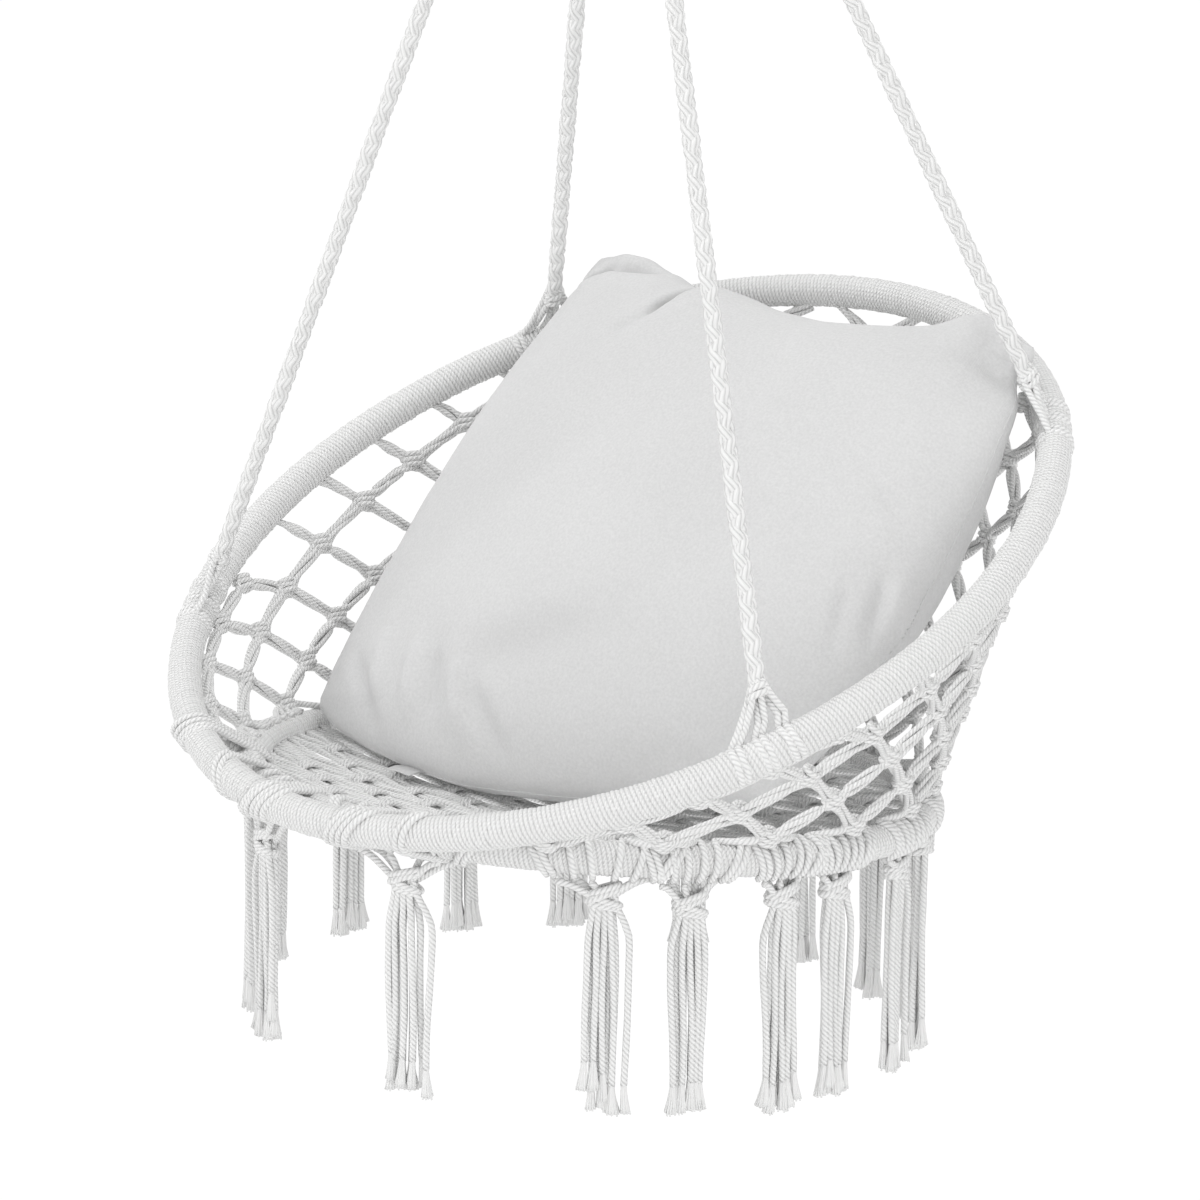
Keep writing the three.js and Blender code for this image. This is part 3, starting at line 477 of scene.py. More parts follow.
for name, start, end in (("front", 210, 330), ("right", 330, 400), ("rear", 40, 140), ("left", 140, 210)):
    sleeve = windSleeve(backHoop, start + lashingSpread, end - lashingSpread)
    sleeve.piece(f"back_hoop_winding_{name}", wrapCotton, "chair", [f"back_wrap_{name}"])
windSleeve(seatHoop, 90.06, 449.94).piece("seat_hoop_winding", wrapCotton, "chair", ["seat_hoop_wrap"])
print("hoops wound")

for name, (degrees, _, _) in ropeFeet.items():
    foot, fork, gather, rise = ropeLine(name)
    along = hoopTangent(backHoop, math.radians(degrees))
    over = unit(rise - along * np.dot(rise, along))
    side = np.cross(along, over)
    # the hoop's winding goes on under the fork's legs
    sleeve = windSleeve(backHoop, degrees - lashingSpread, degrees + lashingSpread)
    sleeve.piece(f"lashing_{name}_winding", wrapCotton, "chair")
    strands = Strands()
    reach = backHoop["wrap"] - lashing["sunk"]
    turns = np.linspace(0.1, fullTurn - 0.15, 16)
    for leg in (-1, 0, 1):
        for cord in range(lashing["legCords"]):
            beside = (cord - 0.5) * 2 * lashing["cord"]
            hand = 1 if cord else -1
            start = fork + rise * (0.016 - 0.004 * abs(leg)) + side * 0.004 * hand + along * leg * 0.003
            knee = fork - rise * 0.004 + along * (leg * 0.0085 + beside * 0.6) + side * 0.003 * hand
            low = fork - rise * 0.020 + along * (leg * 0.0170 + beside)
            loop = lay(foot, (along, leg * lashing["legSpread"] + beside + leg * lashing["slant"] * turns),
                       (over, reach * np.cos(turns)), (side, reach * np.sin(turns)))
            line, _ = resample(np.concatenate([[start, knee, low], loop]), 0.0035)
            strands.add(line, lashing["cord"], 7)
    # the knot that closes the fork
    turn = np.linspace(0, fullTurn, 17)
    for level, wide in lashing["knots"]:
        ring = lay(fork, (rise, level + lashing["knotSlant"] * np.sin(turn)), (along, wide * np.cos(turn)),
                   (side, wide * np.sin(turn)))
        strands.add(ring, lashing["knotCord"], 7)
    strands.piece(f"lashing_{name}_turns", cordCotton, "chair", [f"lashing_{name}"])
print("lashings wound")

# side net: knots on rows and columns, and bars of four cords between them
net = {"step": math.radians(9), "first": -16, "last": 16, "rows": 14, "firstRow": 0.024, "row": 0.0345,
       "cord": 0.0024, "clear": 0.0244, "ghost": 0.006, "onHoop": 0.0125, "points": 12,
       "bunch": 0.0032, "twist": 2.2, "lift": 0.0022, "pinch": 3.2, "knotCord": 0.0025, "knotDeep": 0.0058,
       "spread": ((-0.0058, 0.0), (-0.0020, 0.0018), (0.0020, -0.0018), (0.0058, 0.0)),
       "knotLoops": ((-0.0036, 0.0080), (0.0012, 0.0088), (0.0056, 0.0070)), "knotRise": 0.0012,
       "scatter": (0.00035, 0.0003), "knotScatter": (0.0006, 0.05, 0.0003)}


def netPoint(angle, height):
    low, high = hoopPoint(seatHoop, angle), hoopPoint(backHoop, angle)
    return lay(low, (unit(high - low), height))


def netNormal(angle, height):
    along = netPoint(angle + net["step"] / 2, height) - netPoint(angle - net["step"] / 2, height)
    rise = netPoint(angle, height + 0.008) - netPoint(angle, height - 0.008)
    return unit(np.cross(along, rise))


def netAngle(column):
    return math.pi / 2 + column * net["step"]


def hoopDistance(hoop, point):
    local = point - hoop["centre"]
    along = local[1] * math.cos(hoop["tilt"]) + local[2] * math.sin(hoop["tilt"])
    above = local[2] * math.cos(hoop["tilt"]) - local[1] * math.sin(hoop["tilt"])
    return math.hypot(math.hypot(local[0], along) - hoop["radius"], above)


def knotHeight(column, row):
    # a knot whose planned place is too close to the back hoop slides down its line, or isn't there
    angle = netAngle(column)
    planned = net["firstRow"] + row * net["row"]
    reach = float(np.linalg.norm(hoopPoint(backHoop, angle) - hoopPoint(seatHoop, angle)))
    distance = hoopDistance(backHoop, netPoint(angle, planned))
    if planned < reach and distance >= net["clear"]:
        return planned
    if planned > reach or distance < net["ghost"]:
        return None
    low, high = planned - net["row"], planned
    while high - low > 0.0001:
        middle = (low + high) / 2
        if hoopDistance(backHoop, netPoint(angle, middle)) >= net["clear"]:
            low = middle
        else:
            high = middle
    return low if low > net["firstRow"] - 0.0004 else None


def netBars(knots):
    # each bar: angle and height at both ends, and whether it runs out on the back hoop
    bars = []
    for (column, row), height in knots.items():
        for side in (1, -1):
            ends = (netAngle(column), height, netAngle(column) + side * net["step"])
            above = (column + side, row + 1)
            if above in knots:
                bars.append((*ends, knots[above], False))
            elif height == net["firstRow"] + row * net["row"] and knotHeight(*above) is None:
                bars.append((*ends, height + net["row"], True))
    return bars


def barCords(number, angleA, heightA, angleB, heightB, toHoop):
    # four cords, bunched at the bar's middle and spread flat at its knots
    share = np.linspace(0, 1, net["points"])
    stop = 1.0
    if toHoop:
        for trial in np.linspace(0.2, 1, 33):
            point = netPoint(angleA + (angleB - angleA) * trial, heightA + (heightB - heightA) * trial)
            if hoopDistance(backHoop, point) < net["onHoop"]:
                stop = trial
                break
    angle = angleA + (angleB - angleA) * share * stop
    height = heightA + (heightB - heightA) * share * stop
    line = netPoint(angle, height)
    normal = netNormal(angle, height)
    across = np.cross(normal, unit(np.gradient(line, axis=0)))
    pinch = smooth(np.minimum(share, 1 - share) * net["pinch"])
    if toHoop:
        pinch = smooth(np.minimum(share * net["pinch"], 1.0)) * (1 - 0.4 * smooth(share * 2 - 1))
    lift = (net["lift"] if angleB > angleA else -net["lift"]) * (1 - pinch)
    order = np.roll(np.arange(4), number % 4)
    paths = []
    for k, (wide, deep) in enumerate(net["spread"]):
        swing = net["twist"] * (share - 0.5) + (order[k] + 0.5) * math.pi / 2
        astray, deeper = (rng.normal(0, spread) for spread in net["scatter"])
        x = wide * (1 - pinch) + net["bunch"] * np.cos(swing) * pinch + astray
        z = deep * (1 - pinch) + net["bunch"] * np.sin(swing) * pinch + lift + deeper
        paths.append(lay(line, (across, x), (normal, z)))
    return paths


def buildNet():
    knots = {}
    for column in range(net["first"], net["last"] + 1):
        for row in range(abs(column) % 2, net["rows"], 2):
            height = knotHeight(column, row)
            if height is not None:
                knots[column, row] = height
    bars = netBars(knots)
    paths = sum((barCords(number, *bar) for number, bar in enumerate(bars)), [])
    strands = Strands().add(paths, net["cord"])
    # knots: cords wound across the crossing
    loops = []
    turn = np.linspace(0, fullTurn, 15)
    for (column, row), height in knots.items():
        angle = netAngle(column)
        centre, normal = netPoint(angle, height), netNormal(angle, height)
        rise = unit(netPoint(angle, height + 0.01) - netPoint(angle, height - 0.01))
        across = np.cross(rise, normal)
        for shift, wide in net["knotLoops"]:
            slant, wider, deeper = (rng.normal(0, spread) for spread in net["knotScatter"])
            wide = wide * (1 + wider)
            deep = net["knotDeep"] + deeper
            lift = shift + slant * np.cos(turn) + net["knotRise"] * np.sin(turn / 2)
            loops.append(lay(centre, (across, wide * np.cos(turn)), (normal, deep * np.sin(turn)),
                             (rise, lift)))
    print(len(knots), "knots", len(bars), "bars")
    return strands.add(loops, net["knotCord"])


buildNet().piece("side_net_cords", cordCotton, "chair", ["side_net"])
print("net knotted")

# seat web: rows of cords that sway together and apart, hitched where they meet
web = {"pitchX": 0.084, "pitchY": 0.024, "sag": 0.024, "reach": 0.2735, "cords": 4, "cord": 0.0024,
       "gap": 0.0047, "sway": 0.0026, "step": 0.008, "shortest": 0.03, "edge": 0.02, "columns": 4,
       "scatter": 0.0002, "ripple": 0.0012, "uneven": 0.0006, "hitchCord": 0.0021, "hitchWide": 0.0092,
       "hitchDeep": 0.0052, "hitchBow": 0.0012, "hitchScatter": 0.0006,
       "hitchLoops": (-0.0040, 0.0006, 0.0050)}


def webPoint(x, y, above=0.0):
    share = np.minimum((x ** 2 + y ** 2) / web["reach"] ** 2, 1)
    z = -web["sag"] * (1 - share) + above
    tilt = seatHoop["tilt"]
    y, z = y * math.cos(tilt) - z * math.sin(tilt), y * math.sin(tilt) + z * math.cos(tilt)
    return seatHoop["centre"] + np.stack([x + 0 * y, y, z], -1)


def buildWeb():
    strands = Strands()
    rows = int(web["reach"] / web["pitchY"]) + 1
    for row in range(-rows, rows):
        for k in range(web["cords"]):
            y0 = (row + 0.5) * web["pitchY"] + (k - (web["cords"] - 1) / 2) * web["gap"]
            half = math.sqrt(max(web["reach"] ** 2 - y0 ** 2, 0))
            if half < web["shortest"]:
                continue
            x = np.linspace(-half, half, max(6, int(half * 2 / web["step"])))
            run = fullTurn * x / web["pitchX"]
            wave = np.cos(run + (math.pi if row % 2 else 0.0))
            y = y0 + web["sway"] * np.sign(wave) * np.abs(wave) ** 0.6 + rng.normal(0, web["scatter"])
            z = web["ripple"] * np.sin(run + k * 2.1) + web["uneven"] * rng.normal()
            strands.add(webPoint(x, y, z), web["cord"])
    turn = np.linspace(0, fullTurn, 13)
    hitches = []
    for row in range(-rows, rows + 1):
        for column in range(-web["columns"], web["columns"] + 1):
            x0 = (column + (0.5 if row % 2 == 0 else 0.0)) * web["pitchX"]
            y0 = row * web["pitchY"]
            if math.hypot(x0, y0) > web["reach"] - web["edge"]:
                continue
            for shift in web["hitchLoops"]:
                y = y0 + rng.normal(0, web["hitchScatter"]) + web["hitchWide"] * np.cos(turn)
                x = x0 + shift + web["hitchBow"] * np.cos(turn)
                hitches.append(webPoint(x, y, web["hitchDeep"] * np.sin(turn)))
    return strands.add(hitches, web["hitchCord"])


buildWeb().piece("seat_web_cords", cordCotton, "chair", ["seat_web"])
print("web woven")

# tassels
tassel = {"length": 0.196, "front": 5, "behind": 4, "cord": 0.0029, "gap": 0.0067, "closeGap": 0.0042,
          "rowGap": 0.0052, "top": 0.0148, "gatherCords": 6, "gatherTop": 0.0035,
          "gatherEnd": (0.008, 0.0035),
          "scatter": 0.0013, "uneven": 0.022, "arch": (0.003, 0.011), "shortChance": 0.07, "shortBy": 0.10,
          "brush": 0.026, "fan": (1.5, 2.5), "fibres": 10, "fibre": 0.0010,
          "knotDeep": 0.0084, "knotLoops": ((-0.005, 0.30, 0.0125), (-0.0005, 0.38, 0.0138),
                                            (0.0045, -0.36, 0.0134), (0.0090, -0.22, 0.0112))}
# angle on the seat hoop, length share, spread share, drop of the knot, half the width of its gather
tasselTable = [(18, .96, .9, .012, .026), (40, 1, .85, .014, .028), (55.5, .97, 1, .012, .024),
               (71.5, .99, .9, .013, .026), (92, .95, 1, .012, .028), (115, 1, .95, .013, .026),
               (137, .96, 1, .012, .028), (157.5, .98, .9, .014, .026), (182, .94, 1, .012, .026),
               (205, .97, 1.1, .013, .028), (228.5, 1.02, 1, .016, .030), (246.5, 1.03, 1.2, .030, .052),
               (284, 1.02, 1.15, .022, .056), (317, 1, 1, .015, .045), (331, .99, .9, .020, .030),
               (347.5, 1, .85, .016, .024), (359, .97, .95, .014, .022)]


def tasselFrame(degrees):
    top = chordPoint(seatHoop, degrees) - up * tassel["top"]
    wide = unit(hoopTangent(seatHoop, math.radians(degrees)) * np.array([1, 1, 0]))
    return top, wide, np.array([wide[1], -wide[0], 0])


def buildTassel(degrees, lengthShare, spreadShare, knotDrop, gatherHalf, seed):
    pick = np.random.default_rng(100 + seed)
    top, wide, deep = tasselFrame(degrees)
    # cords that come together from the hoop's underside to the knot
    gathered = []
    t = np.linspace(0, 1, 12)
    for k in range(tassel["gatherCords"]):
        share = (k + 0.5) / tassel["gatherCords"] * 2 - 1
        share = math.copysign(abs(share) ** 0.75, share)
        hand = (-1) ** k
        x0, y0 = share * gatherHalf, 0.004 * hand - (share * gatherHalf) ** 2 / (2 * seatHoop["radius"])
        sink = tassel["gatherTop"] + (knotDrop - 0.002) * smooth(t * 0.9 + 0.05) * (0.35 + 0.65 * t)
        x = x0 * (1 - t) + share * tassel["gatherEnd"][0] * t
        y = y0 * (1 - t) + hand * tassel["gatherEnd"][1] * t
        gathered.append(lay(top, (wide, x), (deep, y), (up, -sink)))
    strands = Strands().add(gathered, tassel["cord"], 7)
    # the knot: pairs of cords laid slantwise across each other
    turn = np.linspace(0, fullTurn, 17)
    loops = []
    for level, slant, half in tassel["knotLoops"]:
        x = half * (1 + pick.normal(0, 0.04)) * np.cos(turn)
        z = -knotDrop - level + slant * x + 0.0014 * np.sin(turn)
        loops.append(lay(top, (wide, x), (deep, tassel["knotDeep"] * np.sin(turn)), (up, z)))
    strands.add(loops, tassel["cord"], 7)
    # the hanging cords, close together in two rows; now and then an outer one arches away
    length = tassel["length"] * lengthShare
    hang = np.concatenate([[0.0, 0.03, 0.06, 0.10, 0.15], np.linspace(0.21, 1, 18)])
    archSide, archSize = pick.choice([-1, 1]), pick.uniform(*tassel["arch"])
    frays = []
    slots = [(k - (count - 1) / 2, row) for row, count in enumerate((tassel["front"], tassel["behind"]))
             for k in range(count)]
    for place, row in slots:
        share = place / ((tassel["front"] - 1) / 2)
        shift, wave = pick.normal(0, tassel["scatter"], 2), pick.uniform(0, 6.28, 2)
        cut = abs(pick.normal(0, tassel["uneven"]))
        stop = length * (1 - cut - (tassel["shortBy"] if pick.uniform() < tassel["shortChance"] else 0))
        drop = knotDrop + hang * (stop - tassel["brush"] * 0.8 - knotDrop)
        t = (drop - knotDrop) / (length - knotDrop)
        opened = smooth(t * 4)
        x = place * (tassel["closeGap"] * (1 - opened) + tassel["gap"] * spreadShare * opened) + shift[0] * t
        if share * archSide > 0.9:
            x = x + archSide * archSize * smooth(t * 5) * (1 - 0.6 * smooth(t * 1.2 - 0.1))
        x = x + 0.0008 * np.sin(drop * 40 + wave[0]) * opened
        y = (0.5 - row) * tassel["rowGap"] + shift[1] * t + 0.0007 * np.sin(drop * 36 + wave[1])
        path = lay(top, (wide, x), (deep, y), (up, -drop))
        strands.add(path, tassel["cord"] * (1 + 0.03 * np.sin(drop * 130 + wave[0])), 7)
        # the cord's end opens into a soft brush, cut straight
        direction = unit(path[-1] - path[-4])
        fan = pick.uniform(*tassel["fan"])
        t = np.linspace(0, 1, 6)
        lean = wide * (share * 0.0020 + pick.normal(0, 0.0008)) + deep * pick.normal(0, 0.0006)
        body = lay(path[-1] - direction * 0.003, (direction, t * tassel["brush"]), (lean, t ** 1.6))
        strands.add(body, tassel["cord"] * (0.80 + (fan * 0.76 - 0.80) * t ** 1.5), 9, twisted=False)
        for j in range(tassel["fibres"]):
            angle = j / tassel["fibres"] * fullTurn + pick.uniform(-0.2, 0.2)
            away = (wide * math.cos(angle) + deep * math.sin(angle)) * (tassel["cord"] - 0.0006)
            run = 1 + pick.uniform(-0.04, 0.06)
            frays.append(lay(body[0] + (body - body[0]) * run, (away, 0.72 + (fan * 1.02 - 0.72) * t ** 1.5)))
    return strands.add(frays, tassel["fibre"], 4, twisted=False)


for number, row in enumerate(tasselTable, 1):
    node = f"tassel_{number:02d}"
    buildTassel(*row, number).piece(f"{node}_cords", cordCotton, f"{node}_body", [node])
print("tassels knotted")

# gathers: the net's cords turned over the seat hoop towards each tassel
gather = {"bundles": ((-1.0, 2), (-0.55, 1), (-0.2, 1), (0.2, 1), (0.55, 1), (1.0, 2)), "cord": 0.0029,
          "rolls": (105, 75, 45, 15, -15, -45, -75), "low": 0.92, "high": 1.35, "above": 0.0019, "points": 20,
          "lean": 0.006, "near": math.radians(10), "fromKnot": ((0.94, 0.026), (0.55, 0.0215))}


def gatherCord(start, low, columns):
    # from the nearest knot of the net, if one is near, and over the hoop
    nearest = min(columns, key=lambda c: abs((c - math.degrees(start) + 180) % 360 - 180))
    away = (math.radians(nearest) - start + math.pi) % fullTurn - math.pi
    knot = gather["fromKnot"] if abs(away) < gather["near"] else ()
    control = [netPoint(start + away * share, height) for share, height in knot]
    reach = seatHoop["wrap"] + gather["above"]
    for roll in gather["rolls"]:
        angle = start + (low - start) * smooth((gather["rolls"][0] - roll) / 180)
        control.append(lay(hoopPoint(seatHoop, angle),
                           (hoopRadial(seatHoop, angle), reach * math.cos(math.radians(roll))),
                           (hoopNormal(seatHoop), reach * math.sin(math.radians(roll)))))
    line, _ = resample(control, 0.004)
    at = np.linspace(0, len(line) - 1, gather["points"])
    return np.stack([np.interp(at, np.arange(len(line)), line[:, c]) for c in range(3)], -1)


def buildGathers():
    paths = []
    columns = [90 + 9 * k for k in range(net["first"], net["last"] + 1, 2)]
    radius = seatHoop["radius"]
    for degrees, _, _, _, gatherHalf in tasselTable:
        for share, cords in gather["bundles"]:
            lean = rng.normal(0, gather["lean"])
            for k in range(cords):
                middle = math.radians(degrees) + (k - (cords - 1) / 2) * 2.0 * gather["cord"] / radius
                start = middle + share * gatherHalf * gather["high"] / radius + lean
                paths.append(gatherCord(start, middle + share * gatherHalf * gather["low"] / radius, columns))
    return Strands().add(paths, gather["cord"], 7)


buildGathers().piece("hoop_gather_cords", cordCotton, "chair")
print("gathers tied")

# front ties between the hoops, where they show: angle on the back hoop, number of cords, slant
frontTie = {"groups": ((240, 4, 0.006), (252, 2, -0.008), (262, 5, 0.010), (277, 4, 0.012), (286, 2, 0.008)),
            "cord": 0.0027, "gap": 0.0052, "above": 0.0009, "scatter": 0.0004, "fan": (1.25, 0.1)}


def buildFrontTies():
    strands = Strands()
    turn = np.linspace(0, fullTurn, 33)
    seatSide = np.cos(turn) > 0
    wrap = np.where(seatSide, seatHoop["wrap"], backHoop["wrap"]) + frontTie["above"]
    for degrees, cords, slant in frontTie["groups"]:
        high = math.radians(degrees)
        backAt = hoopPoint(backHoop, high)
        low = -math.acos(np.clip(backAt[0] / seatHoop["radius"], -1, 1))
        seatAt = hoopPoint(seatHoop, low)
        along = unit(hoopTangent(backHoop, high) + hoopTangent(seatHoop, low))
        across = unit(seatAt - backAt)
        along = unit(along - across * np.dot(along, across))
        over = np.cross(along, across)
        centre = np.where(seatSide[:, None], seatAt, backAt)
        for k in range(cords):
            shift = (k - (cords - 1) / 2) * frontTie["gap"] + rng.normal(0, frontTie["scatter"])
            spread = np.where(seatSide, 1.0, rng.normal(*frontTie["fan"]))
            path = lay(centre, (across, wrap * np.cos(turn)), (over, wrap * np.sin(turn)),
                       (along, shift * spread + slant * np.sin(turn)))
            strands.add(resample(path, 0.005)[0], frontTie["cord"], 7)
    return strands


buildFrontTies().piece("hoop_tie_cords", cordCotton, "chair", ["hoop_tie_left", "hoop_tie_right"])
print("front tied")

# cushion
cushion = {"halfWidth": 0.265, "halfHeight": 0.240, "halfThickness": 0.084, "lean": math.radians(47.6),
           "centre": np.array([0, 0.084, -0.97322]), "fullness": 0.42, "slack": 0.34, "flat": 0.93,
           "cornerFlat": 0.5, "inset": 0.002, "rightBelly": 0.038, "grid": 61, "weld": 0.0006,
           "voxel": 0.0064, "pressure": 4.0, "stiffness": 25, "bending": 0.4, "quality": 5, "frames": 20,
           "cap": 0.004, "fullShadeDepth": 0.0125, "clear": 0.0085, "overHoop": 0.002, "softEdge": 0.002,
           "reachDown": 0.01, "seam": 0.0007, "seamStep": 0.006, "outside": 0.05, "ease": 0.006}
# the upper right corner is slack, drawn in where the rope presses on it and bent back behind the rope
slackCorner = {"out": (0.003, 0.82, 0.12), "notch": (0.011, 0.199, 0.016), "back": (0.010, 0.55, 0.35)}
# the seam's line, read along the cushion: upper and lower edges as x, y and the left edge as y, x
cushionTop = [(-.262, .246), (-.245, .249), (-.227, .248), (-.206, .247), (-.186, .245), (-.160, .242),
              (-.138, .238), (-.120, .230), (-.105, .227), (-.090, .232), (-.070, .231), (-.042, .228),
              (-.015, .222), (.005, .218), (.060, .215), (.124, .223), (.165, .232), (.180, .241),
              (.194, .255), (.206, .258), (.220, .252), (.242, .242), (.270, .234)]
cushionBottom = [(-.265, -.256), (-.245, -.268), (-.217, -.277), (-.174, -.285), (-.142, -.289),
                 (-.115, -.292), (-.077, -.293), (-.050, -.293), (0, -.287), (.060, -.278), (.120, -.268),
                 (.180, -.256), (.230, -.246), (.270, -.236)]
cushionLeft = [(-.250, -.266), (-.235, -.273), (-.200, -.275), (-.100, -.272), (0, -.268), (.080, -.265),
               (.140, -.259), (.200, -.256), (.225, -.256), (.240, -.253)]
# creases pressed into the cloth: from x, y to x, y on the cushion, depth, width, and 1 in front or -1 behind
cushionCreases = [
    (-.250, .200, -.222, .214, .0130, .0050, 1), (-.222, .214, -.212, .226, .0120, .0050, 1),
    (-.212, .226, -.150, .228, .0100, .0055, 1), (-.084, .226, -.099, .169, .0150, .0060, 1),
    (-.099, .169, -.125, .135, .0040, .0070, 1), (.220, .232, .262, .182, .0055, .0100, 1),
    (.236, .044, .272, .022, .0035, .0060, 1), (.276, -.025, .286, -.085, .0048, .0045, 1),
    (.256, -.040, .266, -.100, .0032, .0060, 1), (-.112, -.190, -.090, -.255, .0062, .0095, 1),
    (-.062, -.215, .010, -.272, .0062, .0100, 1), (-.222, -.205, -.160, -.268, .0062, .0095, 1),
    (-.079, -.205, .060, -.140, .0060, .0240, 1), (.200, .120, .262, .040, .0050, .0100, -1),
    (.230, .020, .275, -.060, .0090, .0080, -1), (.200, -.040, .262, -.120, .0080, .0090, -1),
    (.150, -.160, .215, -.215, .0060, .0100, -1), (-.240, .100, -.170, .060, .0050, .0120, -1),
    (-.120, .150, .120, .140, .0040, .0250, -1)]
# soft swellings beside the creases
cushionSwells = [
    (-.230, .240, -.160, .240, .0060, .0100, 1), (-.068, .220, -.078, .178, .0040, .0110, 1),
    (-.230, .192, -.200, .208, .0040, .0090, 1), (-.140, -.185, -.122, -.255, .0060, .0100, 1),
    (-.084, -.195, -.050, -.262, .0065, .0100, 1), (.288, -.015, .296, -.085, .0060, .0060, 1),
    (-.190, -.180, -.170, -.250, .0050, .0110, 1), (.215, .060, .268, -.010, .0070, .0110, -1),
    (.240, -.090, .250, -.160, .0070, .0110, -1)]


def readLine(table, at):
    places, values = np.array(table).T
    return sum(np.interp(at + shift * cushion["ease"], places, values) for shift in (-1, 0, 1)) / 3


def cushionGrid(side):
    s = np.sin(np.linspace(-1, 1, cushion["grid"]) * math.pi / 2)
    u, v = np.meshgrid(s, s, indexing="ij")
    out, start, span = slackCorner["out"]
    right = cushion["halfWidth"] + cushion["rightBelly"] * (1 - v ** 2) + out * smooth((v - start) / span)
    left = -readLine(cushionLeft, v * cushion["halfHeight"])
    x = u * (np.where(u > 0, right, left) - cushion["inset"])
    across = u * cushion["halfWidth"]
    upward = np.where(v > 0, readLine(cushionTop, across), -readLine(cushionBottom, across))
    y = v * (upward - cushion["inset"])
    notch, ropeAt, width = slackCorner["notch"]
    x = x - np.where(u > 0, notch * u ** 4 * np.exp(-((y - ropeAt) / width) ** 2), 0)
    back, start, span = slackCorner["back"]
    bentBack = back * smooth((u * v - start) / span) * (u > 0)
    sideFull = np.where((u > 0) & (side < 0), cushion["slack"], cushion["fullness"])
    full = (1 - u ** 2) ** sideFull * (1 - v ** 2) ** cushion["fullness"]
    full = full * (1 - cushion["cornerFlat"] * np.abs(u * v) ** 2.5)
    return np.stack([x, y, side * cushion["halfThickness"] * cushion["flat"] * full - bentBack], -1)


def leanOver(points, lean):
    x, y, z = np.moveaxis(points, -1, 0)
    return np.stack([x, y * math.cos(lean) - z * math.sin(lean), y * math.sin(lean) + z * math.cos(lean)], -1)


def cushionToFrame(points):
    return cushion["centre"] + leanOver(points, cushion["lean"])


def readPoints(mesh):
    points = np.empty(len(mesh.vertices) * 3)
    mesh.vertices.foreach_get("co", points)
    return points.reshape(-1, 3)


def strokeMask(place, start, end, width, side):
    # how strongly a crease or swelling acts at each place, fading at its ends
    along = end - start
    share = np.clip(((place[:, :2] - start) @ along) / (along @ along), 0, 1)
    away = np.linalg.norm(place[:, :2] - start - share[:, None] * along, axis=1)
    fade = 0.25 + 0.75 * smooth(np.minimum(share * 3, 1)) * smooth(np.minimum((1 - share) * 2.2 + 0.2, 1))
    return fade * np.exp(-(away / width) ** 2) * (np.sign(place[:, 2]) == side)


def creaseCloth(mesh):
    # presses creases and swellings into the cloth, and paints shade along the deep creases
    points = readPoints(mesh)
    normals = np.array([vertex.normal[:] for vertex in mesh.vertices])
    place = leanOver(points - cushion["centre"], -cushion["lean"])
    creaseShadeSum = np.zeros(len(points))
    for sign, strokes in ((-1, cushionCreases), (1, cushionSwells)):
        for x0, y0, x1, y1, depth, width, side in strokes:
            mask = strokeMask(place, np.array([x0, y0]), np.array([x1, y1]), width, side)
            points += normals * (sign * depth * mask)[:, None]
            if sign < 0:
                # only the deep creases get painted shade, a darker cloth colour kept in a point attribute
                creaseShadeSum += mask * (depth / cushion["fullShadeDepth"]) ** 3
    mesh.vertices.foreach_set("co", points.ravel())
    mesh.attributes.new("creaseShade", "FLOAT", "POINT").data.foreach_set("value", creaseShadeSum.astype(np.float32))
    mesh.update()


def fillCushion(piece):
    # air pressure rounds the cloth, and no point moves further than the cap
    mesh = piece.data
    before = readPoints(mesh)
    settings = piece.modifiers.new("cloth", "CLOTH").settings
    settings.use_pressure = True
    settings.uniform_pressure_force = cushion["pressure"]
    settings.effector_weights.gravity = 0
    settings.quality = cushion["quality"]
    settings.tension_stiffness = settings.compression_stiffness = cushion["stiffness"]
    settings.bending_stiffness = cushion["bending"]
    for number in range(1, cushion["frames"] + 1):
        bpy.context.scene.frame_set(number)
    bpy.ops.object.modifier_apply(modifier="cloth")
    bpy.context.scene.frame_set(1)
    move = readPoints(mesh) - before
    size = np.linalg.norm(move, axis=1, keepdims=True)
    print(f"cloth moved {size.mean() * 1000:.1f} mm on average, {size.max() * 1000:.1f} mm at most")
    move *= np.minimum(1, cushion["cap"] / np.maximum(size, 1e-9))
    mesh.vertices.foreach_set("co", (before + move).ravel())


def restOnWeb(mesh):
    # the cushion's underside lies on the seat: no point sinks below the web or the seat hoop
    points = readPoints(mesh)
    x, y = points[:, 0], points[:, 1] - seatHoop["centre"][1]
    away = np.hypot(x, y) - seatHoop["radius"]
    tube = seatHoop["wrap"] + cushion["overHoop"]
    floorHeight = webPoint(x, y)[:, 2] + cushion["clear"]
    crown = np.sqrt(np.maximum(tube ** 2 - away ** 2, 0))
    hoopTop = seatHoop["centre"][2] + y * math.sin(seatHoop["tilt"]) + crown
    floorHeight = np.where(np.abs(away) < tube, np.maximum(floorHeight, hoopTop), floorHeight)
    sunk = floorHeight - points[:, 2]
    touched = (away < tube) & (sunk > -cushion["reachDown"])
    points[:, 2] += 0.5 * (sunk + np.sqrt(sunk ** 2 + cushion["softEdge"] ** 2)) * touched
    mesh.vertices.foreach_set("co", points.ravel())
    mesh.update()


def applyModifier(piece, kind, **settings):
    modifier = piece.modifiers.new(kind, kind)
    for key, value in settings.items():
        setattr(modifier, key, value)
    bpy.ops.object.modifier_apply(modifier=modifier.name)


